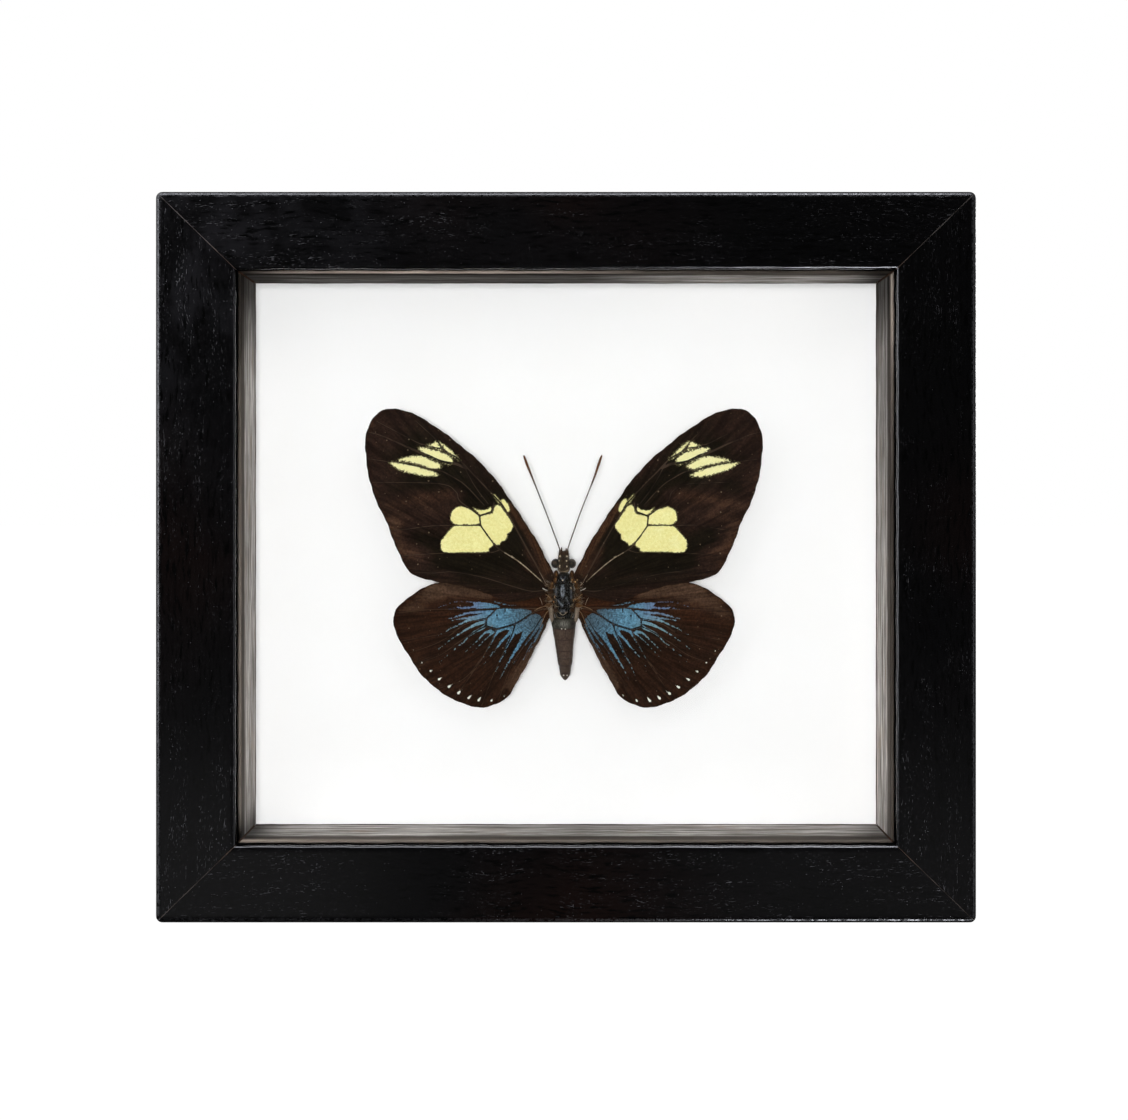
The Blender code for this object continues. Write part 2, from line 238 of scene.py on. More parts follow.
# Linear colours of the black lacquer, given in pairs where noise mixes them.
LACQUER_BLACK = (0.0008, 0.0008, 0.0009), (0.0025, 0.0023, 0.0027)
# The cool grey of a painted sheen at the rails' top left:
LACQUER_SHEEN = (0.0078, 0.0076, 0.0090)
LACQUER_BROWN = (0.0024, 0.0009, 0.0007), (0.0082, 0.0036, 0.0026)
LACQUER_FIBRE = (0.0075, 0.0072, 0.0080)
LACQUER_PORE = (0.0006, 0.0006, 0.0006)
# Pale flecks in the grain, partly pore filler and partly painted glints:
LACQUER_FLECK_AND_GLINT = (0.030, 0.029, 0.031), (0.110, 0.110, 0.122)
BARE_WOOD = (0.042, 0.033, 0.028), (0.062, 0.036, 0.022)
LIP_BLACK = (0.0008, 0.0008, 0.0009), (0.0035, 0.0032, 0.0032)
WAXED, MATT = 0.5, 0.0  # Specular levels


def lacquer_paint(name, along):
    """Black lacquer over open-grained wood, with the grain along X or Z; a painted sheen at the top left,
    painted shade towards the lower right.
    """
    p = Paint(name)
    where = p.place()
    x, y, z = p.split(where)
    run, across = (x, z) if along == "x" else (z, x)
    across_wavy = across + p.noise(where, 0.05, 2.0) * 4.5

    def grained(run_scale, across_scale, detail=2.0, roughness=0.5):
        """Noise drawn out along the grain."""
        space = p.joined(run * run_scale, y * across_scale, across_wavy * across_scale)
        return p.noise(space, 1.0, detail, roughness)

    streaks = grained(0.26, 1.6, 4.0, 0.6)
    rows = grained(0.03, 0.62)
    long_dash = grained(0.50, 5.2, 1.0)
    short_dash = grained(1.15, 6.2, 1.0)
    fibres = grained(1.1, 2.8, 4.0, 0.7)
    fleck, fleck_colour = p.cells(p.joined(run * 0.8, y, across_wavy), 1.55)
    patch = p.noise(where, 0.035, 3.0, 0.6)
    drift = p.noise(where, 0.09, 3.0, 0.6)

    joint = p.attribute("mitre")
    inset = p.attribute("inset")
    from_left = x - LOW.x / MM
    from_top = HEIGHT / MM - z
    # Painted light: a cooler, lighter sheen towards the top left, and painted shade towards the lower right.
    wear_and_sheen = p.fade(from_left + from_top, 100.0, 12.0)
    shadow = p.fade(from_left - from_top, 40.0, 140.0, 1.0, 0.45)
    near_joint = p.fade(joint, 24.0, 2.0)
    density = p.fade(drift, 0.4, 0.66) * 0.55 + wear_and_sheen * 0.35 + near_joint * 0.45
    in_row = p.fade(rows, 0.42, 0.60)
    # Pale dashes and dots in the grain: pore filler and painted glints, thicker towards the top left.
    dash = p.larger(p.fade(long_dash, 0.645, 0.73), p.fade(short_dash, 0.650, 0.74))
    dash = dash * in_row * p.smaller(density, 1.0)
    rarity, size, brightness = p.parts(fleck_colour)
    dot = p.fade(fleck - (0.05 + size * 0.08), 0.05, -0.05)
    dot = dot * p.fade(rarity, 0.62, 0.8) * p.smaller(density + 0.3, 1.0)
    fleck_and_glint = p.larger(dash, dot)

    base = p.mix(patch, *LACQUER_BLACK)
    base = p.mix(wear_and_sheen * wear_and_sheen * p.fade(drift, 0.4, 0.62), base, LACQUER_SHEEN)
    brown = p.mix(streaks, *LACQUER_BROWN)
    browned = p.fade(joint, 22.0, 60.0) * p.fade(p.noise(where, 0.022, 2.0), 0.38, 0.66)
    base = p.mix(browned * 0.75, base, brown)
    base = p.mix(p.fade(fibres, 0.52, 0.72) * (density + 0.15), base, LACQUER_FIBRE)
    base = p.mix(p.fade(streaks, 0.48, 0.34), base, LACQUER_PORE)
    colour = p.scaled(p.mix(fleck_and_glint, base, p.mix(brightness, *LACQUER_FLECK_AND_GLINT)), shadow)

    # The mitre's edge is rubbed through to bare wood.
    bare = p.fade(joint - p.noise(where, 1.3, 2.0) * 0.09, 0.035, 0.0)
    rub = p.fade(p.noise(where, 0.22, 2.0), 0.36, 0.60)
    bare = bare * (rub * 0.65 + 0.35)
    colour = p.mix(bare, colour, p.mix(p.fade(inset, 0.6, 1.0), *BARE_WOOD))

    normal = p.bump(streaks * 0.5 - fleck_and_glint * 0.9 + fibres * 0.35, 0.00003, 0.35)
    # Both front arrises are rubbed rougher in places than the flat face.
    arris = p.larger(p.fade(inset, 0.080, 0.045), p.fade(inset, 0.945, 0.965, 0.0, 0.25))
    arris = arris * p.fade(y - FRONT_Y / MM, 1.3, 0.8)
    rubbed = p.fade(p.noise(p.joined(run * 0.9, y, across), 1.1, 4.0, 0.75), 0.4, 0.58)
    roughness = streaks * 0.12 + 0.11 + arris * rubbed * 0.34 + bare * 0.4
    return p.surface(colour, roughness, normal, Specular_IOR_Level=WAXED)


def lip_paint():
    """The lip's inner wall: flat black, unpolished."""
    p = Paint("lacquer_lip")
    grain = p.noise(p.place(), 1.2, 3.0)
    normal = p.bump(grain, 0.00005, 0.4)
    return p.surface(p.mix(grain, *LIP_BLACK), grain * 0.2 + 0.6, normal, Specular_IOR_Level=MATT)


# Painted light and shade along each inner wall, from its low or left end (0) to the other (1): how light its
# body is, then its front edge; darker into the corners.
WALL_PAINTED_LIGHT = {
    "top": (
        [(0.02, 0.14), (0.07, 0.24), (0.54, 0.2), (0.66, 0.68), (0.88, 0.86), (0.95, 0.66), (0.99, 0.2)],
        [
            (0.01, 0.08), (0.09, 0.66), (0.24, 1.05), (0.5, 0.68), (0.62, 0.2), (0.8, 0.16),
            (0.9, 0.24), (0.98, 0.08),
        ],
    ),
    "bottom": (
        [
            (0.01, 0.24), (0.06, 0.88), (0.26, 1.05), (0.52, 0.72), (0.72, 0.96), (0.94, 0.82),
            (0.99, 0.48),
        ],
        [(0.01, 0.6), (0.2, 0.42), (0.45, 0.3), (1.0, 0.22)],
    ),
    "left": (
        [
            (0.01, 0.34), (0.05, 1.0), (0.33, 1.05), (0.5, 1.0), (0.8, 1.0), (0.87, 0.78), (0.92, 0.5),
            (0.97, 0.26),
        ],
        [(0.01, 0.02), (0.05, 0.36), (0.33, 0.42), (0.6, 0.4), (0.8, 0.25), (0.87, 0.1), (0.97, 0.06)],
    ),
    "right": (
        [
            (0.01, 1.0), (0.05, 1.22), (0.18, 1.22), (0.33, 1.12), (0.55, 0.95), (0.77, 0.62),
            (0.87, 0.66), (0.97, 0.22),
        ],
        [(0.01, 0.16), (0.3, 0.12), (0.6, 0.11), (0.8, 0.24), (0.9, 0.56), (0.97, 0.6)],
    ),
}
BRIGHTEST_PAINTED_LIGHT = 1.55

# Linear colours of the grey wash on the inner walls, given in pairs where noise mixes them.
STAIN_BODY = (0.15, 0.137, 0.126), (0.56, 0.535, 0.515)
STAIN_STREAK = (0.095, 0.078, 0.066)
STAIN_BLOTCH = (0.27, 0.215, 0.175)
STAIN_BAND = (0.040, 0.034, 0.030), (0.120, 0.106, 0.095)
STAIN_BARE = (0.20, 0.145, 0.11), (0.52, 0.46, 0.41)
STAIN_BACK = (0.036, 0.022, 0.017)
STAIN_JOINT = (0.050, 0.028, 0.018)


def stain_and_light_paint(wall):
    """The inner wall's grey wash: bare edge in front, dark band, pale streaked body, brown back edge, with
    painted light and shade along its length.
    """
    p = Paint("grey_stain_and_painted_light_" + wall)
    where = p.place()
    x, y, z = p.split(where)
    lying = wall in ("top", "bottom")
    run, across = (x, z) if lying else (z, x)
    start = (LOW.x + STILE_FACE if lying else RAIL_FACE) / MM
    length = (WIDTH - 2 * STILE_FACE if lying else HEIGHT - 2 * RAIL_FACE) / MM
    share = (run - start) / length
    # Painted light and shade: the wall's body and front edge grow lighter and darker along its length.
    body_stops, edge_stops = WALL_PAINTED_LIGHT[wall]
    body_painted_light = p.ramp(share, body_stops) * BRIGHTEST_PAINTED_LIGHT
    edge_painted_light = p.ramp(share, edge_stops) * BRIGHTEST_PAINTED_LIGHT
    depth = y - FRONT_Y / MM
    drift = (p.noise(p.joined(run * 0.06), 1.0) - 0.5) * 1.5
    depth_wavy = depth + drift
    long_space = p.joined(run * 0.045, depth_wavy * 0.8, across)
    streaks = p.noise(long_space, 1.0, 5.0, 0.62)
    fine = p.noise(p.joined(run * 0.12, depth * 2.4, across), 1.0, 3.0, 0.6)
    blotch = p.noise(p.joined(run * 0.1, depth * 0.2), 1.0, 3.0, 0.6)

    body = p.mix(p.fade(streaks, 0.34, 0.66), *STAIN_BODY)
    body = p.mix(p.fade(fine, 0.56, 0.36, 0.0, 0.70), body, STAIN_STREAK)
    body = p.mix(p.fade(blotch, 0.52, 0.70, 0.0, 0.5), body, STAIN_BLOTCH)
    body = p.scaled(body, body_painted_light)
    band = p.scaled(p.mix(fine, *STAIN_BAND), p.larger(body_painted_light, 0.3))
    bare = p.scaled(p.mix(fine, *STAIN_BARE), edge_painted_light)

    # Depths are in millimetres behind the frame's face.
    colour = p.mix(p.fade(depth_wavy, 9.6, 12.4), band, body)
    colour = p.mix(p.fade(depth_wavy, 8.0, 6.6), colour, bare)
    back = p.fade(depth + drift * 0.2, 24.4, 25.1)
    colour = p.mix(back * 0.9, colour, STAIN_BACK)
    joint = p.fade(p.attribute("mitre") - fine * 0.15, 0.13, 0.05)
    colour = p.mix(joint, colour, STAIN_JOINT)
    normal = p.bump(streaks + fine * 0.5, 0.00012, 0.6)
    return p.surface(colour, fine * 0.2 + 0.45, normal, Specular_IOR_Level=MATT)


BOARD_WHITE = (0.925, 0.928, 0.932), (0.965, 0.967, 0.968)
BOARD_CLOUD = (0.935, 0.935, 0.932)
BOARD_SPECK = (0.45, 0.42, 0.38)
BOARD_BACK = (0.62, 0.58, 0.50)


def board_paint():
    """White mount board with faint fibres and a few specks; its back is buff."""
    p = Paint("white_board")
    where = p.place()
    fibres = p.noise(where, 1.8, 4.0, 0.65)
    clouds = p.noise(where, 0.08, 2.0)
    colour = p.mix(fibres, *BOARD_WHITE)
    colour = p.mix(p.fade(clouds, 0.35, 0.7, 0.0, 0.5), colour, BOARD_CLOUD)
    speck, speck_colour = p.cells(p.place(shift=(3.0, 1.0, 7.0)), 0.16)
    rare = p.fade(p.parts(speck_colour)[1], 0.93, 0.96)
    dot = p.fade(speck, 0.035, 0.015) * rare
    colour = p.mix(dot * 0.35, colour, BOARD_SPECK)
    backward = p.split(p.output("NewGeometry", output="Normal"))[1]
    colour = p.mix(p.fade(backward, 0.3, 0.8), colour, BOARD_BACK)
    normal = p.bump(fibres, 0.00003, 0.35)
    return p.surface(colour, fibres * 0.1 + 0.8, normal, Specular_IOR_Level=0.2)


GLASS_TINT = (0.997, 0.998, 0.9975)
GLASS_IOR = 1.5


def glass_paint():
    """Thin clear glass: it shows what is behind, and its front face reflects as Fresnel gives."""
    p = Paint("clear_glass")
    where = p.place()
    film = p.fade(p.noise(where, 0.06, 4.0, 0.6), 0.45, 0.8)
    clear = p.output("BsdfTransparent", {"Color": GLASS_TINT})
    gloss = p.output("BsdfGlossy", {"Color": (1, 1, 1), "Roughness": film * 0.06})
    _, y, _ = p.split(where)
    face = GLASS_BOX[0].y / MM
    in_front = p.fade(y, face + 0.4, face + 0.2)
    share = p.output("Fresnel", {"IOR": GLASS_IOR}) * in_front
    return p.finish(p.output("MixShader", {0: share, 1: clear, 2: gloss}))


# ---------------------------------------------------------------- mesh helpers

def add_piece(name, points, faces, paints, attributes, body="root", sharp=None):
    """A smooth mesh that rides on the body, with a number per point for each named attribute."""
    mesh = bpy.data.meshes.new(name)
    mesh.from_pydata([tuple(q) for q in points], [], faces)
    mesh.validate()
    for key, values in attributes.items():
        made = mesh.attributes.new(key, "FLOAT", "POINT")
        made.data.foreach_set("value", np.asarray(values, np.float32))
    mesh.shade_smooth()
    if sharp is not None:
        mesh.set_sharp_from_angle(angle=math.radians(sharp))
    for material in paints:
        mesh.materials.append(material)
    obj = bpy.data.objects.new(name, mesh)
    bpy.context.scene.collection.objects.link(obj)
    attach(obj, body)
    return obj


def face_outward(obj):
    """Turns every face of a closed mesh to look outwards."""
    bm = bmesh.new()
    bm.from_mesh(obj.data)
    bmesh.ops.recalc_face_normals(bm, faces=bm.faces)
    bm.to_mesh(obj.data)
    bm.free()


def ring_faces(rings, around):
    """Faces of a closed tube of rings with its two ends filled."""
    faces = []
    for i in range(rings - 1):
        for j in range(around):
            k = (j + 1) % around
            faces.append((i * around + j, i * around + k, (i + 1) * around + k, (i + 1) * around + j))
    faces.append(tuple(range(around - 1, -1, -1)))
    faces.append(tuple((rings - 1) * around + j for j in range(around)))
    return faces


def dress(node, material):
    """Gives a CAD node that stays visible its material."""
    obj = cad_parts[node]
    obj.data.materials.clear()
    obj.data.materials.append(material)


# ---------------------------------------------------------------- mitred rails and spacers

BAR_ENDS = {
    "top": ((-1, 1), (1, 1)),
    "bottom": ((1, -1), (-1, -1)),
    "left": ((-1, -1), (-1, 1)),
    "right": ((1, 1), (1, -1)),
}
CORNER_RADIUS = 1.3 * MM
ARRIS = 0.9 * MM
SIGHT_ARRIS = 0.65 * MM
BACK_CHAMFER = 0.4 * MM
SPACER_CHAMFER = 0.35 * MM
JOINT = 0.03 * MM
STATION_GAP = 1.1 * MM


def corner_point(side, end, inset):
    """(x, z) on a mitre line, where inset runs from 0 at the outside to 1 at the sight edge."""
    return Vector((
        side * (WIDTH / 2 - inset * STILE_FACE),
        HEIGHT / 2 + end * (HEIGHT / 2 - inset * RAIL_FACE),
    ))


def rounded(point):
    """Pulls a point of the frame's square outer corner in to a round one."""
    reach = Vector((abs(point.x) - WIDTH / 2, abs(point.y - HEIGHT / 2) - HEIGHT / 2))
    reach += Vector((CORNER_RADIUS, CORNER_RADIUS))
    if min(reach) <= 0:
        return point
    pulled = reach * (max(reach) / reach.length)
    return Vector((
        math.copysign(abs(point.x) - reach.x + pulled.x, point.x),
        HEIGHT / 2 + math.copysign(abs(point.y - HEIGHT / 2) - reach.y + pulled.y, point.y - HEIGHT / 2),
    ))


def stations(length):
    """Distances along a bar: close together near its ends, then a millimetre or so apart."""
    near = [d * MM for d in (0, 0.05, 0.12, 0.25, 0.45, 0.7, 1.0, 1.5, 2.2, 3.0)]
    count = int((length - 2 * near[-1]) / STATION_GAP)
    middle = np.linspace(near[-1], length - near[-1], count)[1:-1]
    return near + list(middle) + [length - d for d in reversed(near)]


def mitred_piece(name, ends, profile, paints, wobble):
    """A bar between two mitres from a closed profile of (inset, depth) points.

    Its mitre attribute is the distance to the nearer mitre in millimetres, and its inset attribute
    runs from 0 at the outside to 1 at the sight edge.
    """
    loops = []
    mitre = []
    inset_values = []
    start_corner, stop_corner = (corner_point(*end, 0) for end in ends)
    along = (stop_corner - start_corner).normalized()
    inward = Vector((-along.y, along.x))
    if inward.dot(Vector((0, HEIGHT / 2)) - (start_corner + stop_corner) / 2) < 0:
        inward = -inward
    length = (stop_corner - start_corner).length
    for distance in stations(length):
        share = distance / length
        ring = []
        for inset, depth in profile:
            a = corner_point(*ends[0], inset) + along * JOINT
            b = corner_point(*ends[1], inset) - along * JOINT
            point = a.lerp(b, share)
            point = rounded(point + inward * wobble(distance, inset, depth))
            ring.append((point.x, FRONT_Y + depth, point.y))
            from_joint = min(share, 1 - share) * (b - a).length / math.sqrt(2)
            mitre.append(from_joint / MM)
            inset_values.append(inset)
        loops.append(ring)
    points = [q for ring in loops for q in ring]
    faces = ring_faces(len(loops), len(profile))
    obj = add_piece(name, points, faces, paints, {"mitre": mitre, "inset": inset_values}, sharp=40)
    face_outward(obj)
    return obj


def rail_profile():
    """The moulding's outline: outer wall, round arris, face, sight arris, lip, rebate and back."""
    turns = [math.pi / 2 * i / 6 for i in range(7)]
    points = [(0.0, d) for d in (DEPTH - BACK_CHAMFER, DEPTH / 2, 4 * MM)]
    for turn in reversed(turns):
        points.append((ARRIS * (1 - math.sin(turn)) / STILE_FACE, ARRIS * (1 - math.cos(turn))))
    face = np.linspace(ARRIS / STILE_FACE, 1 - SIGHT_ARRIS / STILE_FACE, 14)[1:-1]
    points += [(inset, 0.0) for inset in face]
    for turn in turns:
        inset = 1 - SIGHT_ARRIS / STILE_FACE * (1 - math.sin(turn))
        points.append((inset, SIGHT_ARRIS * (1 - math.cos(turn))))
    points += [(1.0, 1.6 * MM), (1.0, LIP_DEPTH), (REBATE_AT, LIP_DEPTH), (REBATE_AT, DEPTH)]
    points += [(0.3, DEPTH), (BACK_CHAMFER / STILE_FACE, DEPTH)]
    return points


def spacer_profile():
    """A fillet's section: chamfered front edge, inner face down to the board, and a plain back."""
    front = SPACER_BOX[0].y - FRONT_Y
    stop = BOARD_BOX[0].y - FRONT_Y - 0.05 * MM
    inner = 1 + 0.1 * MM / STILE_FACE
    outer = REBATE_AT + 0.3 * MM / STILE_FACE
    points = [(inner - SPACER_CHAMFER / STILE_FACE, front), (inner, front + SPACER_CHAMFER)]
    points += [(inner, depth) for depth in np.linspace(front + SPACER_CHAMFER, stop, 14)[1:]]
    return points + [(outer, stop), (outer, front)]


SANDING = 0.035 * MM
FILLET_WAVES = 0.025 * MM, 0.015 * MM


def rail_wobble(distance, inset, depth):
    """A hand-sanded sight edge: a few hundredths of a millimetre in and out."""
    if inset < 0.9:
        return 0.0
    s = distance / MM
    return SANDING * (math.sin(s * 0.37) + 0.6 * math.sin(s * 0.91 + 1.3)) * (inset - 0.9) * 10


def spacer_wobble(distance, inset, depth):
    """The fillet's inner face isn't quite straight or flat."""
    if inset < 0.95:
        return 0.0
    s = distance / MM
    long_wave, short_wave = FILLET_WAVES
    return long_wave * math.sin(s * 0.21 + depth / MM * 0.9) + short_wave * math.sin(s * 0.83)


def make_frame_looks():
    """Rails, fillets, glass and mount board."""
    moulding, section = rail_profile(), spacer_profile()
    rails = {"x": lacquer_paint("lacquer_across", "x"), "z": lacquer_paint("lacquer_upright", "z")}
    lip = lip_paint()
    for place_name, ends in BAR_ENDS.items():
        axis = "x" if place_name in ("top", "bottom") else "z"
        rail = mitred_piece("rail_skin_" + place_name, ends, moulding, [rails[axis], lip], rail_wobble)
        insets = rail.data.attributes["inset"].data
        for face in rail.data.polygons:
            behind = face.center.y - FRONT_Y
            within = min(insets[v].value for v in face.vertices) >= REBATE_AT
            if SIGHT_ARRIS < behind < DEPTH - MM and within:
                face.material_index = 1
        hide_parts("rail_" + place_name)
        stain = stain_and_light_paint(place_name)
        wall = mitred_piece("spacer_skin_" + place_name, ends, section, [stain], spacer_wobble)
        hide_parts("spacer_" + place_name)

    dress("glass", glass_paint())
    dress("mount_board", board_paint())


# ---------------------------------------------------------------- curves and distances, in millimetres

def smooth_curve(points, closed=False, steps=6):
    """A Catmull-Rom curve through the points."""
    points = np.array(points, float)
    if closed:
        padded = np.vstack([points[-1:], points, points[:2]])
    else:
        padded = np.vstack([2 * points[0] - points[1], points, 2 * points[-1] - points[-2]])
    t = np.linspace(0, 1, steps, endpoint=False)[:, None]
    runs = []
    for a, b, c, d in zip(padded, padded[1:], padded[2:], padded[3:]):
        runs.append(
            b + (c - a) * t / 2
            + (2 * a - 5 * b + 4 * c - d) * t**2 / 2
            + (3 * b - a - 3 * c + d) * t**3 / 2
        )
    if not closed:
        runs.append(points[-1:])
    return np.vstack(runs)


def evenly(curve, gap, closed=False):
    """Points a steady distance apart along a curve."""
    line = np.vstack([curve, curve[:1]]) if closed else curve
    reach = np.concatenate([[0], np.cumsum(np.linalg.norm(np.diff(line, axis=0), axis=1))])
    count = max(2, int(round(reach[-1] / gap)))
    at = np.linspace(0, reach[-1], count + 1)
    if closed:
        at = at[:-1]
    return np.column_stack([np.interp(at, reach, line[:, k]) for k in range(line.shape[1])])


def to_line(points, line, widths=None):
    """(distance less the half width there, share along) of each point to a polyline."""
    best = np.full(len(points), 1e9)
    share = np.zeros(len(points))
    for i, (a, b) in enumerate(zip(line, line[1:])):
        along = b - a
        t = np.clip((points - a) @ along / max(along @ along, 1e-12), 0, 1)
        gap = np.linalg.norm(points - a - t[:, None] * along, axis=1)
        if widths is not None:
            gap = gap - (widths[i] * (1 - t) + widths[i + 1] * t)
        nearer = gap < best
        best[nearer] = gap[nearer]
        share[nearer] = (i + t[nearer]) / (len(line) - 1)
    return best, share


def inside(points, loop):
    """Whether each point is inside a closed loop."""
    within = np.zeros(len(points), bool)
    x, z = points[:, 0], points[:, 1]
    for (ax, az), (bx, bz) in zip(loop, np.roll(loop, -1, axis=0)):
        crosses = (az > z) != (bz > z)
        if az != bz:
            within ^= crosses & (x < ax + (z - az) * (bx - ax) / (bz - az))
    return within


def to_patch(points, loop):
    """Distance to a closed loop, negative inside it."""
    gap, _ = to_line(points, np.vstack([loop, loop[:1]]))
    return np.where(inside(points, loop), -gap, gap)


def ripple(points, waves):
    """A smooth wavy field from a few sine waves: (amplitude, x turn, z turn, phase)."""
    return sum(
        a * np.sin(points[:, 0] * kx + points[:, 1] * kz + phase) for a, kx, kz, phase in waves
    )


# ---------------------------------------------------------------- wing outlines and markings

FOREWING = [
    (1.9, 3.0), (2.3, 4.9), (3.7, 7.7), (5.3, 10.8), (8.8, 16.4), (15.7, 26.0), (24.0, 33.3), (31.2, 37.9),
    (36.2, 39.0), (39.7, 37.2), (41.25, 32.9), (41.15, 28.4), (39.8, 21.8), (36.7, 14.8), (34.1, 8.2),
    (31.2, 4.3), (25.6, 2.8), (19.0, 1.5), (11.6, -1.2), (6.5, -0.6), (2.9, 1.2),
]
HINDWING = [
    (2.0, -2.9), (2.1, -0.6), (3.2, 0.9), (5.8, 1.0), (12.0, 2.6), (20.0, 3.6), (26.3, 2.8), (30.8, 0.8),
    (34.6, -2.3), (35.6, -5.7), (34.1, -9.5), (29.8, -16.3), (25.8, -20.0), (21.0, -22.6),
    (16.7, -23.3), (12.9, -22.0), (10.6, -19.4), (6.0, -11.0), (3.4, -5.5),
]

# Pale yellow patches of the forewing.
YELLOW = [
    [(25.1, 9.2), (25.6, 11.2), (25.0, 12.2), (24.0, 13.4), (22.8, 14.5), (20.2, 14.6), (17.6, 14.6),
     (16.2, 12.7), (14.8, 10.8), (15.7, 9.9), (16.2, 9.2), (20.8, 9.15)],
    [(23.6, 16.2), (23.3, 17.5), (22.5, 18.3), (21.4, 18.6), (20.2, 18.2), (19.0, 17.7),
     (17.8, 16.6), (17.5, 15.1), (20.0, 15.0), (22.6, 15.0), (23.4, 15.6)],
    [(18.9, 18.5), (18.2, 18.0), (16.9, 17.85), (15.8, 18.1), (15.3, 18.5), (15.2, 17.7), (16.2, 17.3),
     (17.4, 17.0)],
    [(17.35, 16.5), (14.9, 17.2), (14.4, 18.6), (13.7, 18.9), (12.9, 18.2), (11.6, 16.3),
     (10.7, 14.7), (11.1, 13.6), (11.8, 13.0), (12.0, 12.0), (13.2, 11.2), (13.6, 10.6),
     (14.8, 11.4), (17.3, 14.8)],
    [(13.0, 20.0), (12.5, 20.1), (11.6, 18.9), (11.4, 17.9), (11.8, 17.6), (12.7, 18.8)],
    [(14.7, 21.2), (13.7, 20.2), (13.0, 19.2), (14.0, 19.8)],
    [(26.05, 32.15), (25.15, 31.65), (23.95, 30.75), (22.7, 29.5), (21.65, 28.25), (22.75, 28.85),
     (24.25, 29.9), (25.15, 30.85)],
    [(28.65, 31.35), (27.45, 31.65), (26.55, 32.15), (25.45, 30.65), (25.75, 30.35), (27.35, 30.95)],
    [(30.35, 30.85), (28.65, 30.85), (26.95, 30.35), (25.35, 29.95), (23.85, 29.1), (23.15, 28.15),
     (23.75, 27.35), (25.05, 27.75), (26.75, 28.35), (28.5, 29.25), (29.7, 30.05)],
    [(34.7, 28.3), (32.4, 29.0), (30.4, 29.2), (28.8, 28.9), (27.5, 28.3), (25.4, 27.2),
     (26.3, 26.55), (27.6, 26.55), (29.6, 27.2), (32.3, 27.9)],
    [(36.4, 27.9), (34.4, 27.75), (32.3, 27.4), (30.15, 26.8), (27.5, 26.0), (26.2, 25.2),
     (27.6, 24.95), (29.35, 25.0), (31.75, 25.5), (34.0, 26.2), (35.6, 27.1)],
]

# Blue ground of the hindwing's cell and its neighbours.
BLUE = [
    [(7.05, -3.05), (10.6, -2.8), (13.4, -2.7), (14.4, -3.2), (16.0, -4.8), (16.2, -6.3),
     (14.0, -6.9), (10.1, -5.8), (7.2, -4.0)],
    [(6.0, -3.9), (4.6, -4.6), (4.8, -6.2), (5.8, -7.2), (8.1, -7.2), (9.8, -8.0), (10.8, -6.7),
     (9.8, -6.0), (7.3, -4.4)],
    [(14.0, -7.1), (10.6, -6.2), (11.1, -7.2), (12.1, -7.0), (13.1, -7.5), (14.1, -7.7)],
    [(18.9, -1.4), (16.2, -1.5), (13.4, -2.3), (17.7, -2.7), (18.4, -2.4)],
]

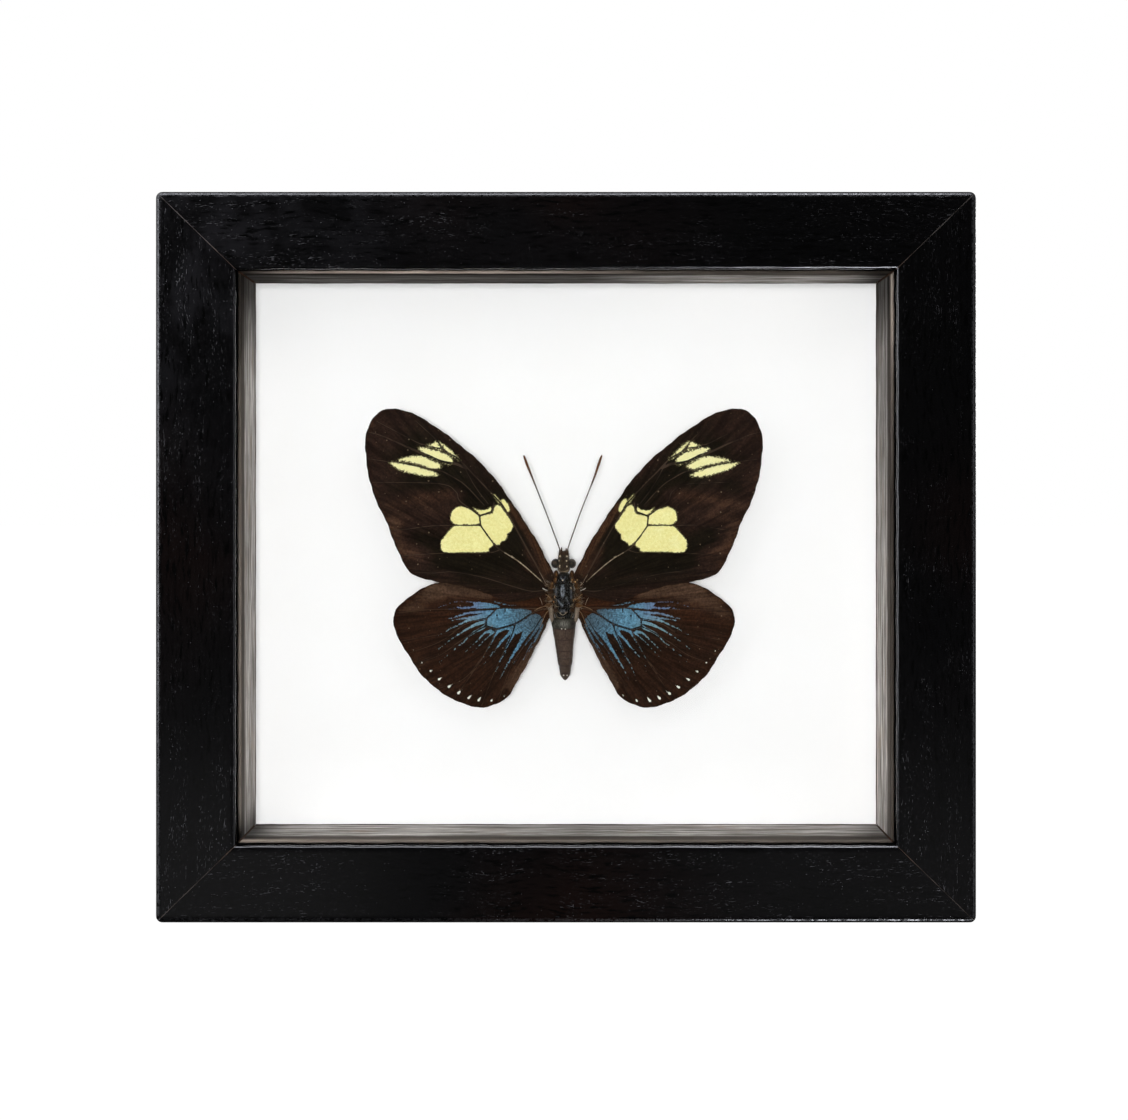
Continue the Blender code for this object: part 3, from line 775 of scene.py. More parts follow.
# Blue rays that run out between the veins: points of (out, up, width), from the wing's base outwards.
RAYS = [
    [(16.9, -1.6, 0.24), (18.7, -1.4, 0.26), (20.5, -1.2, 0.20), (22.8, -1.3, 0.20),
     (25.0, -2.0, 0.16), (26.4, -2.5, 0.12), (27.4, -3.0, 0.08)],
    [(13.5, -2.4, 0.30), (15.3, -2.2, 0.75), (17.1, -2.2, 1.05), (18.5, -2.3, 0.80),
     (20.5, -2.5, 0.65), (22.3, -2.5, 0.55), (24.0, -2.8, 0.25)],
    [(9.6, -2.1, 0.15), (11.4, -2.0, 0.25), (13.2, -1.6, 0.40), (14.3, -1.3, 0.30), (14.8, -1.2, 0.10)],
    [(14.9, -3.3, 0.70), (16.9, -3.4, 0.75), (19.1, -3.5, 0.70), (20.5, -3.7, 0.65),
     (22.1, -4.2, 0.50), (23.4, -4.6, 0.35), (24.9, -5.0, 0.15)],
    [(15.6, -4.0, 0.90), (17.3, -4.1, 0.70), (19.1, -4.4, 0.55),
     (20.7, -4.7, 0.50), (22.5, -5.0, 0.40), (24.3, -5.3, 0.25)],
    [(16.1, -4.5, 0.60), (17.8, -4.7, 0.90), (19.6, -5.0, 0.75), (20.9, -5.5, 0.60),
     (22.3, -6.2, 0.45), (23.7, -6.8, 0.30), (24.9, -7.6, 0.20), (26.4, -8.4, 0.10)],
    [(16.4, -5.4, 0.75), (18.2, -5.9, 0.80), (19.6, -6.6, 0.65), (20.9, -7.3, 0.55),
     (22.3, -8.2, 0.40), (23.7, -9.2, 0.25), (25.0, -10.2, 0.15), (26.4, -11.3, 0.10)],
    [(16.3, -6.2, 0.70), (17.3, -6.9, 0.75), (18.7, -7.6, 0.60), (19.8, -8.4, 0.45), (20.9, -9.6, 0.35),
     (22.1, -10.5, 0.25), (23.2, -11.5, 0.20), (25.0, -13.0, 0.10), (26.0, -13.9, 0.05)],
    [(15.3, -7.4, 0.90), (16.4, -7.7, 0.60), (17.3, -8.5, 0.45),
     (18.5, -9.7, 0.35), (19.6, -10.8, 0.25), (20.6, -11.7, 0.10)],
    [(14.7, -7.6, 0.50), (16.0, -8.7, 0.30), (17.1, -9.8, 0.25),
     (18.2, -10.9, 0.25), (19.2, -12.0, 0.15), (20.1, -13.0, 0.05)],
    [(13.7, -7.3, 0.70), (14.5, -8.6, 0.40), (15.3, -10.1, 0.30),
     (16.1, -11.4, 0.25), (16.8, -12.7, 0.15), (18.1, -14.3, 0.05)],
    [(11.9, -6.7, 0.90), (13.5, -7.3, 0.75), (14.3, -7.6, 0.45)],
    [(10.6, -6.3, 1.00), (11.2, -7.6, 0.95), (12.0, -8.5, 0.70), (13.1, -9.6, 0.65),
     (14.0, -10.9, 0.45), (15.1, -12.2, 0.35), (16.0, -13.3, 0.25), (17.1, -14.8, 0.10)],
    [(9.4, -5.9, 1.35), (10.2, -7.3, 1.00), (11.0, -8.7, 0.85), (11.8, -10.2, 0.70),
     (12.4, -11.8, 0.55), (13.1, -13.1, 0.40), (14.0, -15.2, 0.20), (14.8, -16.8, 0.05)],
    [(5.9, -4.5, 1.80), (6.7, -5.9, 2.40), (7.8, -7.5, 2.00), (8.8, -9.3, 1.25), (9.8, -11.0, 1.00),
     (11.0, -12.9, 0.75), (11.9, -14.5, 0.45), (12.8, -16.2, 0.20), (13.6, -17.8, 0.05)],
    [(4.6, -5.0, 0.70), (5.3, -6.3, 0.70), (6.3, -7.9, 0.60), (7.6, -9.6, 0.40),
     (8.9, -11.4, 0.25), (10.0, -13.4, 0.20), (11.2, -15.7, 0.05)],
    [(4.5, -6.1, 0.50), (5.1, -7.5, 0.55), (6.0, -8.8, 0.40),
     (7.1, -10.6, 0.30), (8.0, -12.3, 0.20), (9.3, -15.0, 0.05)],
    [(4.9, -7.1, 0.30), (5.5, -8.6, 0.30), (6.6, -10.4, 0.20), (7.4, -11.8, 0.05)],
]

RAY_WIDTH = 0.76

# White marks before the hindwing's edge: centre, length and width.
DASHES = [
    ((31.3, -11.3), 0.18, 0.26), ((29.45, -13.8), 0.30, 0.34), ((27.6, -15.55), 0.50, 0.42),
    ((25.75, -17.2), 0.85, 0.46), ((23.65, -18.7), 0.95, 0.48), ((21.65, -19.95), 1.10, 0.56),
    ((19.55, -20.95), 1.10, 0.50), ((17.5, -21.4), 1.15, 0.48), ((14.95, -21.6), 0.85, 0.36),
    ((12.25, -20.55), 1.20, 0.22),
]

# Veins: width at the start and end, then the path from the wing's base outwards.
FORE_VEINS = [
    (0.34, 0.26, [(2.6, 1.9), (3.4, 2.6), (5.3, 5.5), (11.95, 17.5), (13.75, 19.9), (14.9, 21.2),
                  (18.6, 25.0), (21.6, 28.2)]),
    (0.26, 0.45, [(21.6, 28.2), (22.6, 29.0), (24.1, 29.75), (25.5, 30.7)]),
    (0.32, 0.12, [(25.5, 30.7), (26.5, 32.4), (31.0, 36.6)]),
    (0.30, 0.12, [(25.5, 30.7), (27.4, 31.0), (29.3, 31.6), (30.6, 32.0), (39.0, 36.4)]),
    (0.50, 0.60, [(20.4, 26.6), (22.5, 27.5), (24.2, 27.75), (26.1, 28.2), (28.1, 29.1)]),
    (0.60, 0.12, [(28.1, 29.1), (30.3, 30.0), (33.0, 31.2), (38.0, 33.4), (41.0, 34.2)]),
    (0.16, 0.12, [(15.8, 19.2), (18.4, 22.6), (20.8, 26.8)]),
    (0.18, 0.30, [(16.6, 18.9), (20.5, 23.0), (23.0, 24.7), (25.5, 26.0), (28.1, 26.5)]),
    (0.30, 0.12, [(28.1, 26.5), (31.4, 27.2), (34.2, 27.75), (36.6, 28.0), (41.0, 28.6)]),
    (0.26, 0.12, [(17.6, 16.7), (19.2, 17.9), (21.8, 19.9), (22.6, 21.8), (26.1, 23.4), (39.9, 23.7)]),
    (0.30, 0.36, [(14.6, 19.4), (14.8, 18.3), (15.2, 17.5)]),
    (0.36, 0.34, [(15.2, 17.5), (17.6, 16.7)]),
    (0.34, 0.30, [(17.6, 16.7), (17.4, 14.7)]),
    (0.24, 0.12, [(17.4, 14.7), (22.8, 14.7), (27.7, 14.6), (33.8, 13.8), (36.2, 13.9)]),
    (0.16, 0.30, [(3.45, 1.8), (5.3, 3.6), (8.0, 6.0), (10.1, 7.6), (13.0, 9.4), (14.6, 10.8),
                  (17.4, 14.7)]),
    (0.22, 0.12, [(13.3, 9.6), (16.2, 8.95), (25.3, 8.9), (33.8, 8.4)]),
    (0.22, 0.10, [(3.6, 1.2), (7.0, 1.0), (11.1, 2.1), (17.0, 3.9), (23.0, 5.0), (27.0, 4.8),
                  (31.0, 4.9)]),
]
PALE_VEIN = [(0.14, 0.20, [(4.6, 3.0), (5.3, 3.6), (8.0, 6.0), (10.1, 7.6), (12.4, 9.1)]),
             (0.10, 0.04, [(10.1, 7.6), (10.7, 8.3), (11.0, 8.4)])]
HIND_VEINS = [
    (0.30, 0.12, [(2.8, -2.6), (4.8, -2.7), (9.3, -2.6), (13.4, -2.6), (16.9, -2.8), (19.2, -2.9),
                  (27.0, -2.8), (35.2, -3.6)]),
    (0.22, 0.42, [(2.8, -2.8), (4.8, -2.9), (7.05, -3.9), (10.1, -5.8), (14.0, -7.0)]),
    (0.42, 0.40, [(14.0, -7.0), (16.3, -6.3)]),
    (0.40, 0.36, [(16.3, -6.3), (16.2, -4.8)]),
    (0.36, 0.30, [(16.2, -4.8), (14.4, -3.05)]),
    (0.26, 0.10, [(16.2, -4.7), (18.2, -5.1), (21.2, -6.2), (24.3, -7.7), (34.0, -9.4)]),
    (0.32, 0.10, [(16.3, -6.3), (18.2, -7.3), (22.2, -9.8), (25.8, -12.3), (31.2, -14.2)]),
    (0.32, 0.10, [(14.0, -7.0), (14.9, -8.7), (16.4, -11.8), (18.2, -14.8), (22.9, -21.5)]),
    (0.32, 0.10, [(10.1, -5.8), (11.1, -8.7), (12.9, -12.3), (14.9, -16.8), (17.2, -23.0)]),
    (0.24, 0.10, [(3.0, -3.3), (4.5, -4.4), (6.0, -6.7), (8.6, -10.8), (11.1, -14.8), (13.8, -22.2)]),
    (0.20, 0.10, [(2.9, -3.8), (4.2, -6.4), (6.4, -10.6), (9.8, -16.2), (11.0, -19.4)]),
    (0.16, 0.10, [(20.6, -5.9), (26.0, -9.6), (32.6, -12.0)]),
    (0.16, 0.10, [(17.2, -13.0), (21.0, -17.4), (26.4, -19.4)]),
]
HIND_TICKS = [(0.34, 0.22, [(12.3, -2.7), (12.32, -3.5)]), (0.40, 0.40, [(14.0, -4.05), (14.0, -4.15)])]

# Soft tones over the ground colour: amount, reach and path; negative is blacker, positive paler.
FORE_TONES = [
    (-1.0, 4.2, [(10.5, 13.0), (14.0, 19.5), (19.0, 21.5), (25.0, 26.5), (31.0, 30.5)]),
    (-0.95, 2.4, [(10.5, 8.0), (14.0, 8.0), (19.0, 7.0), (27.5, 7.6)]),
    (-0.55, 3.0, [(6.0, 2.0), (14.0, 4.0), (20.0, 4.5)]),
    (-0.5, 2.0, [(26.0, 21.5), (31.0, 23.4), (36.0, 22.5)]),
    (0.75, 1.5, [(21.8, 21.2), (27.0, 20.9), (31.5, 20.0), (37.6, 18.6)]),
    (0.55, 1.7, [(25.5, 17.5), (31.0, 17.0), (36.0, 15.5)]),
    (1.15, 1.9, [(29.0, 7.5), (33.5, 10.0), (36.0, 14.0)]),
    (0.35, 2.2, [(33.0, 33.5), (37.0, 37.5), (40.5, 34.0), (41.2, 28.5), (39.5, 22.0)]),
    (-0.75, 2.4, [(26.5, 11.6), (30.0, 12.6)]),
]
FORE_RUST = [(1.35, 0.85, [(3.6, 5.4), (5.6, 10.0), (8.4, 14.6), (11.2, 18.6)]),
             (0.5, 0.7, [(4.2, 4.2), (7.6, 9.4)]),
             (0.35, 1.2, [(24.0, 21.2), (33.0, 19.6)]),
             (0.35, 1.3, [(32.5, 7.2), (35.8, 12.6)])]
HIND_TONES = [
    (1.35, 1.7, [(11.0, 1.2), (17.0, 2.1), (22.0, 2.4), (27.5, 1.3)]),
    (0.85, 2.3, [(16.0, 0.6), (24.0, 0.8), (31.5, -1.8)]),
    (0.35, 2.0, [(34.0, -4.0), (34.0, -8.0), (30.5, -13.8)]),
    (-0.6, 2.6, [(17.5, -10.5), (12.5, -11.0), (9.0, -9.5)]),
    (-0.35, 2.5, [(20.0, -4.9), (24.0, -9.0)]),
    (1.7, 0.9, [(4.6, -8.4), (7.6, -13.8), (10.8, -19.0)]),
    (0.3, 1.5, [(8.2, -11.6), (12.6, -19.5)]),
    (-0.4, 1.4, [(5.0, -1.0), (10.0, -0.8), (14.0, 0.0)]),
]
HIND_RUST = [(0.8, 1.2, [(5.0, -2.2), (8.0, -1.5), (14.0, 0.6)]),
             (0.8, 0.8, [(3.0, -3.2), (4.4, -4.0)]),
             (0.4, 2.2, [(20.0, -4.6), (27.0, -3.6)])]


FAR_AWAY = 9.0  # The distance given where there is no mark


def near_lines(points, lines):
    """Distance less half width to the nearest of several (start width, end width, path) lines."""
    best = np.full(len(points), FAR_AWAY)
    for start, end, path in lines:
        line = smooth_curve(path)
        gap, _ = to_line(points, line, np.linspace(start, end, len(line)) / 2)
        best = np.minimum(best, gap)
    return best


def near_rays(points, rays):
    """Distance less half width to the nearest ray of (out, up, width) points, and the share along it."""
    best = np.full(len(points), FAR_AWAY)
    share = np.zeros(len(points))
    for ray in rays:
        line = smooth_curve(ray)
        taper = np.linspace(1.05, 0.70, len(line))
        gap, along = to_line(points, line[:, :2], RAY_WIDTH * taper * line[:, 2] / 2)
        nearer = gap < best
        best[nearer] = gap[nearer]
        share[nearer] = along[nearer]
    return best, share


def soft_tones(points, tones):
    """The sum of soft bands given as (amount, reach, path)."""
    total = np.zeros(len(points))
    for amount, reach, path in tones:
        gap, _ = to_line(points, smooth_curve(path))
        total += amount * np.exp(-((gap / reach) ** 2))
    return total


def dash_field(points, base, dashes):
    """Distance to the nearest teardrop, whose narrow end points at the wing's base."""
    best = np.full(len(points), FAR_AWAY)
    for centre, length, width in dashes:
        centre = np.array(centre)
        inward = (np.array(base) - centre) / np.linalg.norm(np.array(base) - centre)
        line = np.array([centre - inward * length / 2, centre + inward * length / 2])
        gap, _ = to_line(points, line, [width / 2, 0.02])
        best = np.minimum(best, gap)
    return best


def apart(group, kept, clear):
    """Whether each point of a group is further than a distance from all kept points."""
    squares = {}
    for point in kept:
        squares.setdefault((point[0] // clear, point[1] // clear), []).append(point)
    free = []
    for x, z in group:
        column, row = x // clear, z // clear
        beside = [(column + i, row + j) for i in (-1, 0, 1) for j in (-1, 0, 1)]
        near = [q for square in beside for q in squares.get(square, ())]
        free.append(all((q[0] - x) ** 2 + (q[1] - z) ** 2 > clear**2 for q in near))
    return np.array(free)


VEIN_CLEAR, GRID_CLEAR = 0.45, 0.62  # Least distances between mesh points, as shares of the spacing


def wing_sheet(outline, veins, spacing):
    """(points, triangles) of a flat wing with points on its edge and its veins."""
    edge = evenly(smooth_curve(outline, closed=True, steps=12), spacing, closed=True)
    turn = np.roll(edge, -1, axis=0) - np.roll(edge, 1, axis=0)
    outward = np.column_stack([-turn[:, 1], turn[:, 0]]) / np.linalg.norm(turn, axis=1)[:, None]
    # Loose scales leave the edge ragged by some hundredths of a millimetre.
    walk = np.arange(len(edge)) * spacing
    ragged = (
        0.06 * np.sin(walk * 0.86)
        + 0.045 * np.sin(walk * 2 * math.pi / 3.1)
        + 0.03 * np.sin(walk * 5.3) * np.sin(walk * 1.7)
    )
    edge = edge + outward * ragged[:, None]
    on_veins = np.vstack([evenly(smooth_curve(path), spacing * 0.9) for _, _, path in veins])
    low, high = edge.min(0), edge.max(0)
    row_gap = spacing * math.sqrt(3) / 2
    rows = np.arange(low[1], high[1], row_gap)
    grid = []
    for number, z in enumerate(rows):
        xs = np.arange(low[0] + spacing / 2 * (number % 2), high[0], spacing)
        grid.append(np.column_stack([xs, np.full(len(xs), z)]))
    grid = np.vstack(grid)
    loop = np.vstack([edge, edge[:1]])
    # Points near the edge or a vein are left out, so that no two points nearly meet.
    on_veins = on_veins[inside(on_veins, edge)]
    on_veins = on_veins[to_line(on_veins, loop)[0] > spacing * VEIN_CLEAR]
    kept = np.vstack([edge, on_veins])
    clear = spacing * GRID_CLEAR
    grid = grid[inside(grid, edge)]
    grid = grid[to_line(grid, loop)[0] > clear]
    kept = np.vstack([kept, grid[apart(grid, kept, clear)]])
    made = geometry.delaunay_2d_cdt(
        [Vector(q) for q in kept], [], [list(range(len(edge)))], 1, spacing * 0.05
    )
    return np.array([tuple(v) for v in made[0]]), [tuple(f) for f in made[2]]


WING_KINDS = {
    "forewing": dict(
        outline=FOREWING, veins=FORE_VEINS, pale=PALE_VEIN, patches=YELLOW, rays=[], dashes=[],
        tones=FORE_TONES, rust=FORE_RUST, base=(2.0, 1.0), plane=-0.68,
    ),
    "hindwing": dict(
        outline=HINDWING, veins=HIND_VEINS, pale=HIND_TICKS, patches=BLUE, rays=RAYS, dashes=DASHES,
        tones=HIND_TONES, rust=HIND_RUST, base=(2.0, -2.5), plane=-0.10,
    ),
}
# Sizes in millimetres, and how far from the base the folds and the curl take to grow.
WING_TILT = math.radians(2.5)
WING_MESH_GAP = 0.26
MEMBRANE = 0.10
RIDGE_HEIGHT, RIDGE_WIDTH = 0.07, 0.16
FOLD_HEIGHT, FOLD_COUNT, FOLD_GROWTH = 0.07, 34, 22
CURL_HEIGHT, CURL_WIDTH, CURL_GROWTH = 0.22, 1.6, 25
FLAT_ROOT = 12
RIM_WIDTH = 0.5


def wing_marks(spec, flat, side, drift):
    """Distances to the wing's marks, and its tones, for each flat point."""
    # The right wing's markings differ a little from the left wing's, as in life.
    warp = np.column_stack([
        ripple(flat, [(0.09, 0.35, 0.22, drift), (0.04, -0.8, 0.6, drift * 2)]),
        ripple(flat, [(0.09, 0.25, -0.31, drift * 3), (0.04, 0.7, 0.9, drift)]),
    ])
    marked = flat + warp * (side > 0)
    patches = [to_patch(marked, smooth_curve(loop, True, 3)) for loop in spec["patches"]]
    ray, fray = near_rays(marked, spec["rays"])
    outline = evenly(smooth_curve(spec["outline"], True, 12), 0.5, closed=True)
    edge, _ = to_line(flat, np.vstack([outline, outline[:1]]))
    from_base = flat - np.array(spec["base"])
    return {
        "patch": np.minimum.reduce(patches),
        "ray": ray,
        "fray": fray,
        "dash": dash_field(marked, spec["base"], spec["dashes"]),
        "vein": near_lines(marked, spec["veins"]),
        "pale": near_lines(marked, spec["pale"]),
        "edge": edge,
        "reach": np.linalg.norm(from_base, axis=1),
        "bearing": np.degrees(np.arctan2(from_base[:, 1], from_base[:, 0])),
        "tone": soft_tones(flat, spec["tones"]),
        "rust": soft_tones(flat, spec["rust"]),
        "up": flat[:, 1],
        "out": flat[:, 0],
    }


def wing_points(spec, flat, side, drift, marks):
    """Points of the wing's front and then its back: raised veins, folds, waves and a curled edge."""
    edge, reach, bearing = marks["edge"], marks["reach"], marks["bearing"]
    ridge = RIDGE_HEIGHT * np.exp(-((np.maximum(marks["vein"] + 0.08, 0) / RIDGE_WIDTH) ** 2))
    ridge = ridge * np.clip(1.15 - reach / 50, 0.3, 1)
    fold = FOLD_HEIGHT * np.sin(np.radians(bearing) * FOLD_COUNT) * np.clip(reach / FOLD_GROWTH, 0, 1)
    wave = ripple(flat, [
        (0.09, 0.21, 0.13, drift), (0.06, -0.33, 0.27, drift * 1.7), (0.03, 0.9, 0.7, drift * 0.6),
    ])
    curl = CURL_HEIGHT * np.exp(-edge / CURL_WIDTH) * np.sin(bearing * 0.13 + drift)
    curl = curl * np.clip(reach / CURL_GROWTH, 0, 1)
    middle = spec["plane"] + (fold + wave + curl) * np.clip(reach / FLAT_ROOT, 0, 1)
    half = (MEMBRANE / 2 + ridge) * np.clip(edge / RIM_WIDTH, 0.25, 1)
    points = []
    for half_side, way in ((half, -1), (half * 0.85, 1)):
        y = middle + way * half_side - flat[:, 0] * math.sin(WING_TILT)
        points.append(np.column_stack([side * flat[:, 0], y, flat[:, 1]]))
    return np.vstack(points) * MM + np.array(SPECIMEN)


def wing_faces(triangles, count, side):
    """Faces of the front, the back and the rim that joins them."""
    front = [t if side > 0 else t[::-1] for t in triangles]
    back = [tuple(v + count for v in t[::-1]) for t in front]
    borders = {}
    for t in front:
        for a, b in zip(t, t[1:] + t[:1]):
            if borders.pop((b, a), None) is None:
                borders[(a, b)] = True
    return front + back + [(b, a, a + count, b + count) for a, b in borders]


def add_bake_map(mesh, flat, front_faces):
    """A UV map for baking: the front fills one half of the picture and the back the other."""
    low, high = flat.min(0), flat.max(0)
    shares = (flat - low) / (high - low)
    layer = mesh.uv_layers.new(name="OFBake")
    loops = np.empty(len(mesh.loops), np.int32)
    mesh.loops.foreach_get("vertex_index", loops)
    uv = shares[loops % len(flat)] * (0.48, 0.98) + 0.01
    uv[3 * front_faces:6 * front_faces, 0] += 0.5
    layer.data.foreach_set("uv", uv.astype(np.float32).ravel())


def make_wing(kind, side_name, side, sheet, paint):
    """A two-sided wing that carries its marks as attributes."""
    spec = WING_KINDS[kind]
    flat, triangles = sheet
    drift = 0.7 if side < 0 else 2.9  # Where its waves start, so that the pair isn't a mirror copy
    marks = wing_marks(spec, flat, side, drift)
    attributes = {key: np.concatenate([value, value]) for key, value in marks.items()}
    attributes["under"] = np.repeat([0.0, 1.0], len(flat))
    points = wing_points(spec, flat, side, drift, marks)
    faces = wing_faces(triangles, len(flat), side)
    obj = add_piece("%s_scaled_%s" % (kind, side_name), points, faces, [paint], attributes)
    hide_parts("%s_%s" % (kind, side_name))
    add_bake_map(obj.data, flat, len(triangles))


# ---------------------------------------------------------------- wing materials

def wing_base(p):
    """Shared wing fields: coordinates, scale grain, streaks (coarse, fine), clouds and dust."""
    where = p.place()
    x, _, z = p.split(where)
    grain = p.noise(where, 2.1, 4.0, 0.68)
    bearing, reach = p.attribute("bearing"), p.attribute("reach")
    # The coordinates fan out from the wing's base, and the two sides of the body differ.
    side = x * 0.02
    streak = p.noise(p.joined(bearing * 0.22, reach * 0.06, side), 1.0, 5.0, 0.62)
    fine = p.noise(p.joined(bearing * 0.85, reach * 0.12, side), 1.0, 3.0, 0.6)
    cloud = p.noise(where, 0.20, 3.0, 0.55)
    dust, dust_colour = p.cells(p.joined(x, z), 0.46, voronoi_dimensions="2D")
    rarity, bulk, _ = p.parts(dust_colour)
    size = bulk * bulk * 0.06 + 0.016
    ragged = dust + (grain - 0.5) * 0.12
    speck = p.fade(ragged - size, 0.014, -0.01) * p.fade(rarity, 0.35, 0.95, 0.0, 0.8)
    return where, grain, streak, fine, cloud, speck


def edged(p, where, field, jag, soft, scale):
    """1 where a distance field is below zero, with an edge broken up like rows of scales."""
    tooth = p.noise(where, scale, 2.0, 0.6)
    return 1.0 - p.fade(field + (tooth - 0.5) * jag, soft * -1.0, soft)


def wing_ground(p, grain, streak, fine, cloud, black, brown, pale, rust):
    """The dark ground: black, brown or pale by tone, then streaked and grained."""
    tone = p.attribute("tone") + (cloud - 0.5) * 0.9 + (streak - 0.5) * 2.0
    colour = p.mix(p.fade(tone, -0.9, 0.15), black, brown)
    colour = p.mix(p.fade(tone, 0.25, 1.35), colour, pale)
    redden = p.attribute("rust") * p.fade(streak, 0.2, 0.6)
    colour = p.mix(p.smaller(redden, 1.0), colour, rust)
    shade = p.mix(p.fade(grain, 0.30, 0.70), (0.58, 0.58, 0.58), (1.45, 1.45, 1.45))
    colour = p.mix(1.0, colour, shade, "MULTIPLY")
    shade = p.mix(p.fade(fine, 0.30, 0.70), (0.55, 0.55, 0.55), (1.50, 1.47, 1.43))
    return p.mix(1.0, colour, shade, "MULTIPLY")


def veined(p, colour, vein, fine, dark, pale):
    """Veins over the ground: a broken pale crest in a faint dark trough."""
    colour = p.mix(p.fade(vein, 0.28, 0.04) * 0.35, colour, dark)
    crest = p.fade(vein, 0.05, -0.05) * p.fade(fine, 0.34, 0.6, 0.25, 0.75)
    return p.mix(crest, colour, pale)


def under_side(p, colour):
    """The back of the wing is paler and duller."""
    return p.mix(p.attribute("under"), colour, p.mix(0.35, colour, UNDER_BROWN))


def on_scales(p, colour, grain, fine):
    """The finished wing surface: dull, with small scales that catch the light."""
    scales, _ = p.cells(p.place((5.5, 5.5, 5.5)), 1.0)
    normal = p.bump(scales * 0.5 + grain + fine * 0.6, 0.00006, 0.5)
    roughness = 0.5 + grain * 0.24
    return p.surface(under_side(p, colour), roughness, normal, Specular_IOR_Level=0.10)


# Linear colours of the wings, given in pairs where noise mixes them.
UNDER_BROWN = (0.10, 0.075, 0.055)
FORE_GROUND = dict(
    black=(0.0065, 0.0048, 0.0026), brown=(0.0155, 0.0082, 0.0056),
    pale=(0.040, 0.0205, 0.0125), rust=(0.040, 0.0185, 0.0095),
)
FORE_VEIN = dict(dark=(0.0050, 0.0036, 0.0026), pale=(0.058, 0.038, 0.026))
FORE_MARGIN = (0.022, 0.012, 0.007)
LEMON = (0.70, 0.65, 0.250), (0.82, 0.79, 0.375)
LEMON_STRIPE = (0.76, 0.68, 0.275)
LEMON_CLOUD = (0.83, 0.81, 0.46)
LEMON_FAR = (0.76, 0.74, 0.42)
LEMON_FRINGE = (0.06, 0.045, 0.02), (0.42, 0.38, 0.17)
LEMON_VEIN = (0.006, 0.0048, 0.0032)
TAN_VEIN = (0.12, 0.085, 0.05), (0.42, 0.35, 0.24)
FORE_DUST = (0.27, 0.2, 0.13)

HIND_GROUND = dict(
    black=(0.0095, 0.0048, 0.0026), brown=(0.0180, 0.0078, 0.0040),
    pale=(0.052, 0.029, 0.0175), rust=(0.036, 0.0130, 0.0050),
)
HIND_VEIN = dict(dark=(0.0060, 0.0036, 0.0022), pale=(0.058, 0.034, 0.021))
HIND_MARGIN = (0.016, 0.008, 0.005)
AZURE = (0.050, 0.115, 0.170), (0.135, 0.310, 0.440)
AZURE_TIP = (0.20, 0.34, 0.38), (0.125, 0.165, 0.290)
AZURE_NEAR = (0.06, 0.078, 0.092)
AZURE_SCRATCH = (0.024, 0.042, 0.055)
AZURE_VEIN = (0.0105, 0.007, 0.0052)
TICK = (0.010, 0.010, 0.012)
WHITE_MARK = (0.55, 0.60, 0.52), (0.95, 0.97, 0.88)
HIND_DUST = (0.26, 0.18, 0.12)


def forewing_paint():
    """Dark brown with lemon patches that dark veins cross."""
    p = Paint("forewing_scales")
    where, grain, streak, fine, cloud, speck = wing_base(p)
    colour = wing_ground(p, grain, streak, fine, cloud, **FORE_GROUND)
    vein = p.attribute("vein")
    colour = veined(p, colour, vein, fine, **FORE_VEIN)
    margin = p.fade(p.attribute("edge"), 0.45, 0.05)
    colour = p.mix(margin * 0.4, colour, FORE_MARGIN)

    # The patches near the wing's tip are softer and more ragged.
    far = p.fade(p.attribute("out"), 20.0, 23.0) * p.fade(p.attribute("up"), 22.0, 24.0)
    jag = 0.62 + far * 0.75
    spread = p.attribute("patch") + far * 0.1
    yellow = edged(p, where, spread, jag, 0.05 + far * 0.07, 2.8)
    fringe = edged(p, where, spread - 0.14, jag * 1.6, 0.1, 3.6)
    lemon = p.mix(p.fade(grain, 0.30, 0.70), *LEMON)
    lemon = p.mix(p.fade(fine, 0.35, 0.65) * 0.35, lemon, LEMON_STRIPE)
    lemon = p.mix(p.fade(cloud, 0.55, 0.8, 0.0, 0.5), lemon, LEMON_CLOUD)
    lemon = p.mix(far * 0.5, lemon, LEMON_FAR)
    colour = p.mix(fringe * 0.5, colour, p.mix(grain, *LEMON_FRINGE))
    colour = p.mix(yellow, colour, lemon)

    dark_line = p.fade(vein + (grain - 0.5) * 0.22, 0.05, -0.03)
    colour = p.mix(dark_line * p.larger(yellow, fringe), colour, LEMON_VEIN)
    tan = p.fade(p.attribute("pale"), 0.06, -0.03)
    colour = p.mix(tan * 0.9, colour, p.mix(p.fade(grain, 0.35, 0.65), *TAN_VEIN))
    colour = p.mix(speck * (1.0 - yellow) * 0.6, colour, FORE_DUST)
    return on_scales(p, colour, grain, fine)


